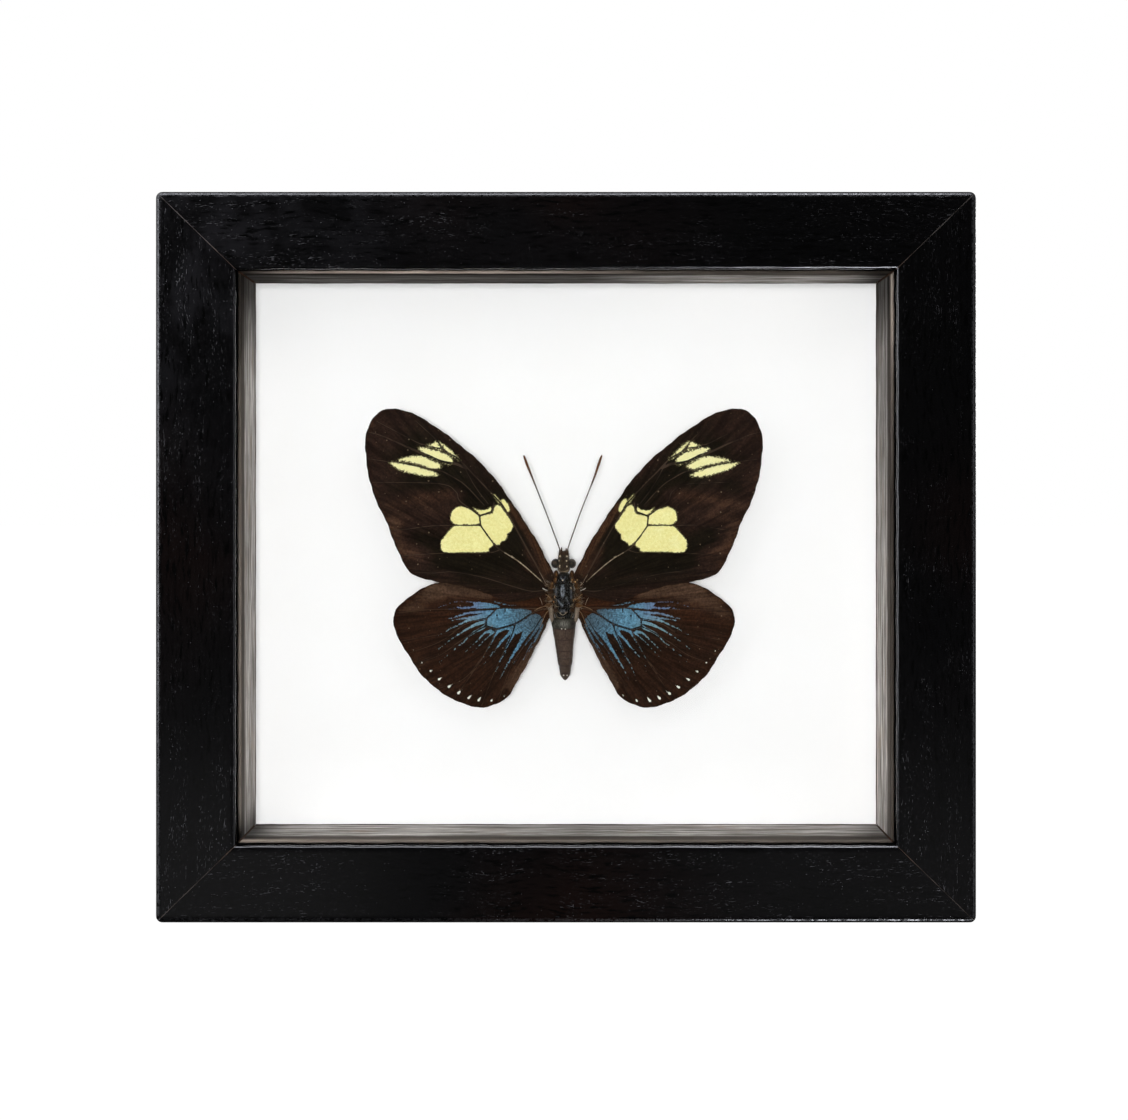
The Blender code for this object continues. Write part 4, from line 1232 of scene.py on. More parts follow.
def hindwing_paint():
    """Dark brown with a fan of blue rays between the veins and white marks before the edge."""
    p = Paint("hindwing_scales")
    where, grain, streak, fine, cloud, speck = wing_base(p)
    reach, bearing = p.attribute("reach"), p.attribute("bearing")
    vein, fray = p.attribute("vein"), p.attribute("fray")
    colour = wing_ground(p, grain, streak, fine, cloud, **HIND_GROUND)
    margin = p.fade(p.attribute("edge"), 0.4, 0.05)
    colour = p.mix(margin * 0.4, colour, HIND_MARGIN)
    colour = veined(p, colour, vein, fine, **HIND_VEIN)

    gaps = p.fade(p.noise(p.joined(reach * 1.3, bearing * 0.6), 1.0, 1.0), 0.46, 0.62, 0.0, 0.20)
    patch = edged(p, where, p.attribute("patch"), 0.7, 0.05, 2.8)
    ray = edged(p, where, p.attribute("ray") + gaps * fray, 0.27 + fray * 0.15, 0.06, 3.2)
    blue = p.larger(patch, ray)
    azure = p.mix(p.fade(grain, 0.30, 0.70), *AZURE)
    tip = p.mix(p.fade(p.attribute("up"), -6.5, -2.5), *AZURE_TIP)
    azure = p.mix(p.fade(reach, 12.0, 18.0) * 0.8, azure, tip)
    azure = p.mix(p.fade(reach, 11.5, 4.0) * 0.8, azure, AZURE_NEAR)
    close = p.fade(reach, 13.0, 6.0, 0.0, 0.55) + 0.3
    for reach_scale, bearing_scale in ((0.45, 0.90), (3.6, 0.14)):
        comb = p.joined(reach * reach_scale, bearing * bearing_scale)
        scratch = p.fade(p.noise(comb, 1.0, 2.0, 0.5), 0.5, 0.6) * close
        azure = p.mix(scratch, azure, AZURE_SCRATCH)
    colour = p.mix(blue, colour, azure)

    dark_line = p.fade(vein + (grain - 0.5) * 0.16, 0.06, -0.03)
    colour = p.mix(dark_line * blue, colour, AZURE_VEIN)
    colour = p.mix(p.fade(p.attribute("pale"), 0.04, -0.03), colour, TICK)
    white = edged(p, where, p.attribute("dash"), 0.16, 0.04, 3.4)
    colour = p.mix(white, colour, p.mix(grain, *WHITE_MARK))
    colour = p.mix(speck * 0.45, colour, HIND_DUST)
    return on_scales(p, colour, grain, fine)


def make_wings():
    """Both forewings and both hindwings."""
    paints = {"forewing": forewing_paint(), "hindwing": hindwing_paint()}
    for kind, spec in WING_KINDS.items():
        sheet = wing_sheet(spec["outline"], spec["veins"], WING_MESH_GAP)
        for side_name, side in SIDES:
            make_wing(kind, side_name, side, sheet, paints[kind])


# ---------------------------------------------------------------- body, in millimetres from the thorax

# Rings of a body part: (up, shift to the right, half width, half depth).
HEAD_RINGS = [
    (4.8, 0.0, 0.9, 0.8), (5.4, -0.05, 1.25, 1.3), (6.6, -0.06, 1.35, 1.65), (7.8, -0.07, 1.2, 1.5),
    (8.6, -0.07, 1.05, 1.25), (9.1, -0.06, 0.8, 0.9), (9.35, -0.05, 0.35, 0.4),
]
THORAX_RINGS = [
    (4.75, 0.0, 0.9, 0.9), (4.3, -0.05, 1.55, 1.6), (3.3, -0.08, 1.85, 2.0), (2.0, -0.1, 2.05, 2.35),
    (0.6, -0.05, 2.2, 2.5), (-1.0, 0.0, 2.25, 2.5), (-2.2, 0.0, 2.1, 2.3), (-3.4, 0.0, 2.0, 2.1),
    (-4.4, 0.0, 1.85, 1.9), (-4.85, 0.0, 1.4, 1.4),
]
ABDOMEN_RINGS = [
    (-4.7, -0.1, 2.1, 1.4), (-5.2, -0.1, 2.55, 1.85), (-6.9, -0.02, 2.36, 2.0), (-9.1, 0.03, 2.02, 1.95),
    (-10.3, 0.06, 1.85, 1.85), (-12.3, 0.16, 1.65, 1.65), (-14.4, 0.23, 1.42, 1.4), (-14.65, 0.24, 1.24, 1.3),
    (-16.3, 0.25, 1.05, 1.05), (-17.3, 0.25, 0.55, 0.55), (-17.7, 0.25, 0.12, 0.12),
]

# Sutures and segment borders: start width, end width, path of (right, up).
HEAD_GROOVES = [(0.05, 0.05, [(-0.1, 8.9), (-0.12, 7.0), (-0.1, 5.4)]),
                (0.05, 0.05, [(-1.2, 8.0), (-0.1, 7.7), (1.1, 8.0)])]
THORAX_GROOVES = [
    (0.10, 0.10, [(-1.7, 4.1), (-0.9, 3.95), (-0.2, 3.7), (0.6, 3.95), (1.6, 4.1)]),
    (0.10, 0.10, [(-2.0, 2.2), (-1.2, 2.7), (-0.26, 2.5), (0.8, 2.7), (1.8, 2.2)]),
    (0.06, 0.04, [(-0.27, 3.6), (-0.27, 2.6), (-0.3, -1.4)]),
    (0.05, 0.05, [(-1.05, 2.4), (-1.45, 0.6), (-1.25, -1.9)]),
    (0.05, 0.05, [(0.65, 2.4), (1.05, 0.6), (0.9, -1.9)]),
    (0.12, 0.12, [(-2.2, -1.8), (-1.2, -2.2), (-0.25, -2.6), (0.8, -2.2), (2.1, -1.8)]),
    (0.10, 0.10, [(-2.1, -3.0), (-1.2, -3.4), (-0.26, -4.05), (0.8, -3.4), (2.0, -3.0)]),
    (0.06, 0.06, [(-1.25, -2.3), (-1.35, -3.3)]), (0.06, 0.06, [(0.75, -2.3), (0.95, -3.3)]),
]
ABDOMEN_BORDERS = [(-6.95, 0.12), (-9.2, 0.06), (-11.5, 0.05), (-13.1, 0.05), (-14.55, 0.12), (-16.1, 0.06)]
ABDOMEN_GROOVES = [
    (width, width, [(-2.4, up + 0.2), (0.1, up - 0.05), (2.4, up + 0.2)]) for up, width in ABDOMEN_BORDERS
] + [
    (0.06, 0.03, [(0.35, -7.2), (0.2, -8.5), (-0.6, -9.1)]), (0.04, 0.03, [(0.2, -8.5), (1.1, -9.2)]),
    (0.04, 0.04, [(-1.75, -7.2), (-1.35, -10.5), (-0.95, -14.2)]),
    (0.04, 0.04, [(1.7, -7.2), (1.5, -10.5), (1.2, -14.2)]),
]

# Pale spots: (right, up, radius).
HEAD_SPOTS = [
    (-0.82, 8.26, 0.18), (0.6, 8.26, 0.18), (-1.05, 7.35, 0.13), (-1.15, 7.2, 0.11), (0.55, 7.3, 0.15),
    (-0.88, 6.35, 0.13), (-0.9, 6.1, 0.12), (-0.86, 5.9, 0.08), (0.6, 6.15, 0.16),
]
THORAX_SPOTS = [(-0.27, 3.3, 0.13), (1.4, 1.72, 0.12), (1.58, 1.5, 0.08), (-1.95, 1.9, 0.10),
                (1.55, 2.95, 0.16), (-1.62, -1.1, 0.07)]
ABDOMEN_SPOTS = [(-0.5, -6.85, 0.12), (0.28, -6.9, 0.12), (-0.06, -16.6, 0.12), (0.63, -16.6, 0.12)]

# Painted sheens, highlights laid into the base colour: amount, reach and path.
THORAX_SHEEN = [
    (1.0, 0.16, [(-0.25, 2.3), (-0.5, 1.5), (-0.6, 0.9), (-0.38, 0.2), (-0.28, -0.2)]),
    (1.0, 0.16, [(-0.22, 2.2), (-0.02, 1.5), (0.02, 0.9), (-0.2, 0.1)]),
    (0.5, 0.22, [(-0.3, 1.8), (-0.3, 0.2)]),
    (0.95, 0.18, [(-1.25, -0.9), (-0.9, -1.4), (-0.35, -1.9)]),
    (0.5, 0.15, [(0.45, -0.3), (0.75, -1.0), (0.9, -1.5)]),
    (0.6, 0.2, [(-1.65, 1.6), (-1.75, 0.2)]),
    (0.5, 0.2, [(1.45, 1.2), (1.55, -0.4)]),
    (1.0, 0.09, [(-0.8, 3.95), (-0.45, 3.55), (-0.28, 3.15)]),
    (1.0, 0.09, [(0.3, 3.95), (-0.02, 3.55), (-0.22, 3.15)]),
    (0.4, 0.2, [(-1.8, -2.8), (-1.6, -3.2)]),
    (0.35, 0.25, [(-0.6, -3.1), (0.2, -3.1)]),
]
ABDOMEN_SHEEN = [(1.0, 0.75, [(-0.3, -5.9), (0.2, -5.9)]), (0.5, 0.25, [(-1.8, -5.4), (-1.9, -6.5)])]
TAN_LINES = [(0.12, 0.10, [(-1.2, -3.3), (-0.27, -3.95), (0.75, -3.3)]),
             (0.08, 0.05, [(-0.75, -3.6), (-0.55, -3.2)]), (0.08, 0.05, [(0.3, -3.6), (0.15, -3.2)]),
             (0.16, 0.08, [(-2.1, -1.6), (-1.75, -2.15), (-1.2, -2.25)]),
             (0.16, 0.08, [(2.0, -1.6), (1.65, -2.15), (1.2, -2.25)]),
             (0.14, 0.10, [(-1.95, -2.3), (-1.85, -3.3), (-1.45, -4.5)]),
             (0.14, 0.10, [(1.90, -2.3), (1.80, -3.3), (1.45, -4.5)]),
             (0.07, 0.05, [(-1.4, -4.45), (-0.6, -4.6), (0.1, -4.5)])]
COLLAR = [(0.30, 0.13, [(-1.20, 5.30), (-0.85, 5.14), (-0.25, 5.04)]),
          (0.13, 0.30, [(-0.25, 5.04), (0.40, 5.12), (0.80, 5.28)])]

# Antenna paths by side, and radii by height; leg paths (out, back, up) for either side.
ANTENNAE = {
    "left": [
        (0.85, -0.6, 9.2), (0.89, -0.6, 9.7), (2.27, -0.7, 13.5), (3.64, -0.9, 17.1),
        (5.25, -1.0, 21.2), (6.71, -1.1, 24.9), (7.71, -1.1, 27.4), (8.4, -1.1, 29.3),
    ],
    "right": [
        (0.75, -0.6, 9.2), (0.83, -0.6, 9.9), (2.03, -0.7, 13.4), (3.4, -0.9, 17.3), (4.94, -1.0, 21.2),
        (6.39, -1.1, 24.9), (7.23, -1.1, 27.4), (7.92, -1.1, 29.4),
    ],
}
ANTENNA_HEIGHTS = [9.2, 9.8, 22.0, 25.0, 27.6, 28.9, 29.2, 29.5]
ANTENNA_RADII = [0.17, 0.12, 0.12, 0.19, 0.27, 0.22, 0.15, 0.05]
ANTENNA_RING_GAP = 0.11
LEGS = {
    "leg_mid": [(2.0, 2.3, 0.8), (2.9, 3.4, -1.2), (2.3, 3.9, -4.6), (1.7, 3.6, -7.4)],
    "leg_hind": [(1.9, 2.7, -1.9), (2.2, 3.0, -4.2), (1.4, 2.8, -8.5), (0.9, 2.8, -11.5)],
}
LEG_RADII = [0.19, 0.15, 0.09]  # At the hip, the middle and the foot
LEG_RING_GAP = 0.15

# Pale and orange stubs of veins and folds over the wing roots: shade, radius, path (out, front, up).
ROOT_LINES = [
    (0.60, 0.034, [(5.2, 1.02, 5.0), (4.5, 1.06, 3.8), (3.9, 1.15, 2.7), (3.4, 1.2, 2.2)]),
    (0.90, 0.070, [(4.5, 1.05, 1.6), (4.0, 1.12, 1.3), (3.4, 1.2, 1.1)]),
    (0.50, 0.060, [(3.8, 1.1, 0.3), (3.3, 1.15, 0.0), (2.9, 1.2, -0.5), (2.3, 1.5, -1.0)]),
    (0.62, 0.040, [(5.1, 0.42, -0.4), (4.75, 0.5, -1.1), (4.5, 0.5, -1.9)]),
    (0.38, 0.070, [(6.1, 0.40, -3.1), (5.2, 0.48, -2.6), (4.1, 0.60, -2.25), (2.7, 0.9, -2.1)]),
    (0.42, 0.060, [(3.0, 0.6, -3.0), (3.7, 0.55, -3.7), (4.3, 0.42, -5.1), (4.9, 0.36, -6.6)]),
    (0.35, 0.060, [(3.3, 1.1, 1.9), (2.8, 1.3, 1.5), (2.3, 1.6, 1.6)]),
]
ROOT_LEAN = 0.0144  # How far to the right they lean for each millimetre up
# Brown lobes at the shoulders and wing roots: shade, centre (out, front, up) and half sizes.
LOBES = [
    (0.10, (1.66, 0.9, 4.5), (0.50, 0.7, 0.85)), (0.17, (1.85, 1.2, 3.2), (0.36, 0.5, 0.60)),
    (0.14, (2.55, 0.9, 2.2), (0.5, 0.6, 0.8)), (0.06, (2.85, 0.8, 0.9), (0.65, 0.5, 0.8)),
    (0.16, (3.0, 0.7, -0.7), (0.68, 0.45, 0.7)), (0.24, (3.1, 0.5, -2.0), (0.75, 0.45, 0.55)),
    (0.06, (1.7, 1.6, -3.0), (0.5, 0.6, 0.55)), (0.05, (3.5, 0.75, 2.2), (0.8, 0.25, 0.45)),
]
PALE_LOBES = [((2.62, 0.45, -3.75), (0.50, 0.7, 1.45)), ((2.45, 0.5, -4.9), (0.40, 0.7, 0.70)),
              ((3.0, 0.30, -2.9), (0.30, 0.4, 0.6))]
# Small lobes that differ from side to side: centre (right, back, up), half sizes and shade.
# Some of the pale ones on the shoulders are painted highlights; the rest are pale marks and dark marks.
SMALL_LOBES = [
    ((2.35, -1.25, 2.9), (0.16, 0.12, 0.22), 0.9), ((2.75, -1.2, 3.3), (0.12, 0.10, 0.2), 0.8),
    ((-2.45, -1.3, 2.6), (0.10, 0.10, 0.16), 0.8), ((2.35, -1.4, -0.7), (0.22, 0.12, 0.14), 0.70),
    ((1.66, -1.75, 3.35), (0.17, 0.12, 0.24), 0.70), ((-1.66, -1.62, 3.45), (0.13, 0.10, 0.30), 0.62),
    ((-1.60, -1.50, 4.5), (0.16, 0.12, 0.34), 0.42), ((1.60, -1.50, 4.7), (0.12, 0.10, 0.26), 0.34),
    ((-1.95, -1.70, -0.2), (0.10, 0.10, 0.34), 0.72), ((1.98, -1.70, -0.9), (0.10, 0.10, 0.26), 0.66),
    ((-2.15, -1.60, -1.2), (0.16, 0.12, 0.20), 0.60), ((-2.0, -1.75, 1.75), (0.10, 0.10, 0.16), 0.80),
    ((2.95, -1.12, 3.0), (0.42, 0.16, 0.55), 0.02), ((-2.85, -1.15, 1.1), (0.50, 0.16, 0.38), 0.02),
]
# Palps and antenna sockets in front of the head: root, tip and radius.
PALPS = [
    ((-0.55, -0.95, 8.5), (-0.50, -0.95, 10.15), 0.27), ((0.34, -0.95, 8.5), (0.46, -0.95, 9.95), 0.27),
    ((-0.88, -0.6, 8.3), (-0.92, -0.62, 9.85), 0.26), ((0.76, -0.6, 8.3), (0.82, -0.62, 9.80), 0.26),
    ((-0.22, -1.2, 8.6), (-0.16, -1.2, 9.45), 0.20), ((0.06, -1.2, 8.6), (0.12, -1.2, 9.5), 0.20),
]
# Compound eyes: centre (right, back, up) and half sizes.
EYES = [((-1.74, -0.35, 6.74), (0.92, 0.95, 1.0)), ((1.62, -0.35, 6.74), (0.90, 0.95, 1.0))]
LOFT_RING_GAP = 0.09
LOFT_AROUND = 120
GROOVE_EDGE = 0.10
HEAD_GROOVE_DEPTH, THORAX_GROOVE_DEPTH, ABDOMEN_GROOVE_DEPTH = 0.05, 0.12, 0.07


class Parts:
    """Small closed shapes gathered into one mesh, each with a shade from 0 (dark) to 1 (pale)."""

    def __init__(self):
        self.points, self.faces, self.shades = [], [], []

    def add(self, points, faces, shade):
        """Adds one shape."""
        start = len(self.points)
        self.points += [tuple(q) for q in points]
        self.faces += [tuple(start + v for v in face) for face in faces]
        self.shades += [shade] * len(points)

    def tube(self, path, radii, shade, around=8):
        """A round tube along a path, with a radius at each point and closed ends."""
        path = np.array(path, float)
        points = []
        for i, centre in enumerate(path):
            ahead = path[min(i + 1, len(path) - 1)] - path[max(i - 1, 0)]
            ahead /= np.linalg.norm(ahead)
            side = np.cross(ahead, (0, 1, 0) if abs(ahead[1]) < 0.9 else (1, 0, 0))
            side /= np.linalg.norm(side)
            up = np.cross(side, ahead)
            for turn in np.arange(around) * 2 * math.pi / around:
                points.append(centre + radii[i] * (math.cos(turn) * side + math.sin(turn) * up))
        self.add(points, ring_faces(len(path), around), shade)

    def blob(self, centre, size, shade=0.5, rows=12, around=18):
        """An ellipsoid, given by its half sizes."""
        centre, size = np.array(centre), np.array(size)
        points = []
        for tilt in np.linspace(0.02, math.pi - 0.02, rows):
            for turn in np.arange(around) * 2 * math.pi / around:
                way = (math.sin(tilt) * math.cos(turn), math.sin(tilt) * math.sin(turn), -math.cos(tilt))
                points.append(centre + size * np.array(way))
        self.add(points, ring_faces(rows, around), shade)

    def hair(self, root, way, radius, shade):
        """A three-sided spike from its root, tapering along the way."""
        root = np.array(root)
        tip = root + way
        self.tube([root, (root + tip) / 2, tip], [radius, radius * 0.7, radius * 0.15], shade, 3)

    def build(self, name, paint, node=None, slot=None):
        """Makes the mesh, which may stand in for a CAD node. The slot argument is not used."""
        points = np.array(self.points) * MM + np.array(SPECIMEN)
        obj = add_piece(name, points, self.faces, [paint], {"shade": self.shades})
        face_outward(obj)
        if node:
            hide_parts(node)


def make_loft(name, node, paint, rings, grooves, depth, bumps, spots, sheen, tan):
    """A body part through rings, with grooves pressed in and attributes for its marks."""
    path = evenly(smooth_curve(rings, steps=8), LOFT_RING_GAP)
    up, shift, wide, deep = (np.repeat(path[:, k], LOFT_AROUND) for k in range(4))
    wide, deep = np.maximum(wide, 0.03), np.maximum(deep, 0.03)
    turns = np.tile(np.arange(LOFT_AROUND) * 2 * math.pi / LOFT_AROUND, len(path))
    x = shift + wide * np.sin(turns)
    y = -deep * np.cos(turns)
    front = np.clip(np.cos(turns) * 1.6, 0, 1)
    flat = np.column_stack([x, up])
    groove = near_lines(flat, grooves)
    push = -depth * np.exp(-((np.maximum(groove, 0) / GROOVE_EDGE) ** 2)) + bumps(x, up)
    # The relief is strongest in front, and it fades towards a part's narrow ends.
    push = push * (0.35 + 0.65 * front) * np.clip(wide, 0, 1)
    points = np.column_stack([x + push * np.sin(turns), y - push * np.cos(turns), up])
    spot = np.full(len(flat), FAR_AWAY)
    for right, height, radius in spots:
        spot = np.minimum(spot, np.hypot(x - right, up - height) - radius)
    attributes = {
        "groove": groove, "spot": np.where(front > 0.05, spot, FAR_AWAY), "front": front, "up": up,
        "sheen": soft_tones(flat, sheen) * front,
        "tan": np.where(front > 0.05, near_lines(flat, tan), FAR_AWAY),
    }
    points = points * MM + np.array(SPECIMEN)
    obj = add_piece(name, points, ring_faces(len(path), LOFT_AROUND), [paint], attributes)
    face_outward(obj)
    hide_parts(node)


# Linear colours of the body, given in pairs where noise mixes them.
THORAX_CHITIN = dict(
    dark=(0.003, 0.003, 0.003), middle=(0.014, 0.0135, 0.0125), sheen=(0.19, 0.215, 0.25), roughness=0.16,
)
HEAD_CHITIN = dict(
    dark=(0.012, 0.0075, 0.0045), middle=(0.042, 0.027, 0.016), sheen=(0.08, 0.06, 0.04), roughness=0.42,
)
CHITIN_PIT = (0.004, 0.003, 0.0025)
CHITIN_TAN = (0.10, 0.07, 0.04), (0.42, 0.33, 0.21)
CHITIN_SPOT = (0.38, 0.27, 0.14), (0.85, 0.76, 0.58)
SKIN = (0.036, 0.022, 0.0155), (0.070, 0.046, 0.034)
SKIN_HAIR = (0.088, 0.062, 0.048)
SKIN_FIRST = (0.01, 0.009, 0.007), (0.036, 0.033, 0.026)
SKIN_SHEEN = (0.16, 0.155, 0.135)
SKIN_PIT = (0.014, 0.009, 0.007)
SKIN_TIP = (0.026, 0.018, 0.014)
SKIN_SIDE = (0.022, 0.013, 0.009)
SKIN_SPOT = (0.72, 0.68, 0.60)
SCLERITE = dict(dark=(0.01, 0.0065, 0.0045), middle=(0.165, 0.07, 0.02), pale=(0.42, 0.26, 0.12))
ROOT_VEIN = dict(dark=(0.030, 0.020, 0.014), middle=(0.22, 0.125, 0.055), pale=(0.62, 0.60, 0.56))
MEMBRANE_SKIN = dict(dark=(0.08, 0.06, 0.045), middle=(0.165, 0.13, 0.098), pale=(0.4, 0.36, 0.3))
FUR = dict(dark=(0.020, 0.013, 0.009), middle=(0.15, 0.095, 0.055), pale=(0.48, 0.42, 0.33))
LEG_CHITIN = dict(dark=(0.016, 0.01, 0.007), middle=(0.06, 0.038, 0.025), pale=(0.2, 0.15, 0.1))
EYE = (0.008, 0.007, 0.006), (0.055, 0.038, 0.026)
HORN_SHAFT = (0.050, 0.032, 0.022), (0.150, 0.115, 0.090)
HORN_CLUB = (0.065, 0.023, 0.007), (0.150, 0.056, 0.016)
HORN_RING = (0.016, 0.009, 0.006)


def chitin_paint(name, dark, middle, sheen, roughness):
    """Dark body shell with pale spots, tan lines, a painted cool sheen and painted glints."""
    p = Paint(name)
    where = p.place()
    grain = p.noise(where, 2.4, 4.0, 0.65)
    fine = p.noise(p.place((3.0, 3.0, 1.2)), 2.6, 2.0, 0.6)
    colour = p.mix(p.fade(grain, 0.32, 0.68), dark, middle)
    # Painted sheen along the sheen lines, and painted glints in rare small cells.
    glow = p.attribute("sheen") * p.fade(fine, 0.4, 0.6, 0.15, 1.0)
    colour = p.mix(p.smaller(glow, 1.0), colour, sheen)
    glint, glint_colour = p.cells(where, 2.6)
    rare = p.fade(p.parts(glint_colour)[0], 0.80, 0.92)
    glint = p.fade(glint, 0.3, 0.12) * rare
    colour = p.mix(glint * 0.6, colour, sheen)
    pit = p.fade(p.attribute("groove"), 0.10, -0.02)
    colour = p.mix(pit * 0.75, colour, CHITIN_PIT)
    tan = p.fade(p.attribute("tan") + (fine - 0.5) * 0.2, 0.05, -0.04)
    colour = p.mix(tan, colour, p.mix(fine, *CHITIN_TAN))
    spot = p.fade(p.attribute("spot") + (fine - 0.5) * 0.25, 0.04, -0.05)
    colour = p.mix(spot, colour, p.mix(fine, *CHITIN_SPOT))
    normal = p.bump(grain + fine * 0.7, 0.00014, 0.8)
    return p.surface(colour, roughness + fine * 0.2, normal, Specular_IOR_Level=0.4)


def abdomen_paint():
    """Greyish brown skin with faint segments, blacker where it joins the thorax, and a painted sheen."""
    p = Paint("abdomen_skin")
    where = p.place()
    grain = p.noise(where, 2.2, 4.0, 0.65)
    hairs = p.noise(p.place((4.0, 4.0, 0.7)), 1.6, 2.0, 0.6)
    colour = p.mix(p.fade(grain, 0.30, 0.70), *SKIN)
    colour = p.mix(p.fade(hairs, 0.48, 0.66, 0.0, 0.55), colour, SKIN_HAIR)
    first = p.fade(p.attribute("up"), -7.1, -6.7)
    colour = p.mix(first, colour, p.mix(p.fade(grain, 0.35, 0.62), *SKIN_FIRST))
    # Painted sheen.
    glow = p.attribute("sheen") * p.fade(hairs, 0.4, 0.58)
    colour = p.mix(p.smaller(glow, 1.0), colour, SKIN_SHEEN)
    pit = p.fade(p.attribute("groove"), 0.12, -0.02)
    colour = p.mix(pit * 0.7, colour, SKIN_PIT)
    tip = p.fade(p.attribute("up"), -14.4, -15.0)
    colour = p.mix(tip * 0.35, colour, SKIN_TIP)
    side = 1.0 - p.attribute("front")
    colour = p.mix(side * 0.45, colour, SKIN_SIDE)
    spot = p.fade(p.attribute("spot") + (hairs - 0.5) * 0.1, 0.05, -0.05)
    colour = p.mix(spot, colour, SKIN_SPOT)
    normal = p.bump(grain + hairs, 0.00007, 0.5)
    return p.surface(colour, 0.42 + hairs * 0.2, normal, Specular_IOR_Level=0.3)


def shaded_paint(name, dark, middle, pale, roughness, specular=0.3, mottle=0.45):
    """Small parts coloured by their shade: dark at 0, middle at 0.5 and pale at 1, then mottled."""
    p = Paint(name)
    where = p.place()
    grain = p.noise(where, 2.6, 3.0, 0.6)
    shade = p.attribute("shade")
    colour = p.mix(p.smaller(shade * 2.0, 1.0), dark, middle)
    colour = p.mix(p.larger(shade * 2.0 - 1.0, 0.0), colour, pale)
    vary = p.mix(p.fade(grain, 0.30, 0.70), (1 - mottle,) * 3, (1 + mottle * 0.9,) * 3)
    colour = p.mix(1.0, colour, vary, "MULTIPLY")
    normal = p.bump(grain, 0.00006, 0.6)
    return p.surface(colour, roughness + grain * 0.2, normal, Specular_IOR_Level=specular)


def eye_paint():
    """Dark compound eyes: close rows of facets and a brown bloom."""
    p = Paint("compound_eye")
    where = p.place()
    facets, _ = p.cells(where, 7.0)
    bloom = p.noise(where, 1.1, 3.0)
    colour = p.mix(p.fade(bloom, 0.46, 0.62), *EYE)
    normal = p.bump(1.0 - facets, 0.00004, 0.8)
    return p.surface(colour, 0.28, normal, Specular_IOR_Level=0.5)


def antenna_paint():
    """Brown horn in fine rings, redder at the club."""
    p = Paint("antenna_horn")
    where = p.place()
    _, _, z = p.split(where)
    grain = p.noise(where, 1.4, 3.0)
    rings = p.math("FRACT", z * 3.1)
    club = p.fade(z - SPECIMEN.z / MM, 23.0, 26.5)
    shaft = p.mix(p.fade(grain, 0.4, 0.65), *HORN_SHAFT)
    colour = p.mix(club, shaft, p.mix(grain, *HORN_CLUB))
    colour = p.mix(p.fade(rings, 0.78, 0.92, 0.0, 0.5), colour, HORN_RING)
    return p.surface(colour, 0.42, p.bump(rings, 0.00003, 0.6), Specular_IOR_Level=0.35)


def head_bumps(x, up):
    """A faintly uneven skull."""
    return 0.05 * np.sin(x * 4.0) * np.sin(up * 3.1)


def thorax_bumps(x, up):
    """Front lobes, a dome between the wings, the rear shield and the dents beside it."""
    lobes = 0.16 * np.exp(-(((np.abs(x + 0.25) - 0.55) / 0.4) ** 2 + ((up - 3.2) / 0.35) ** 2))
    dome = 0.10 * np.exp(-(((x + 0.27) / 0.35) ** 2 + ((up - 0.9) / 1.0) ** 2))
    shield = 0.18 * np.exp(-(((x + 0.25) / 0.8) ** 2 + ((up + 3.1) / 0.45) ** 2))
    dents = -0.08 * np.exp(-(((np.abs(x) - 1.3) / 0.3) ** 2 + ((up + 2.9) / 0.4) ** 2))
    return lobes + dome + shield + dents + 0.02 * np.sin(x * 7) * np.sin(up * 5.3)


def abdomen_bumps(x, up):
    """Each segment swells a little between its borders, with a crease along each side."""
    borders = np.array([-5.1] + [border for border, _ in ABDOMEN_BORDERS] + [-17.7])
    segment = np.clip(np.searchsorted(-borders, -up) - 1, 0, len(borders) - 2)
    share = (up - borders[segment]) / (borders[segment + 1] - borders[segment])
    swelling = 0.07 * np.sin(np.clip(share, 0, 1) * math.pi) ** 0.6
    crease = 0.03 * np.exp(-((np.abs(x) - 1.5) / 0.15) ** 2)
    return swelling - crease


# How many hairs stand on each place.
SHOULDER_HAIRS, ROOT_HAIRS, HEAD_HAIRS, ABDOMEN_HAIRS, FRINGE_HAIRS = 520, 260, 240, 300, 140


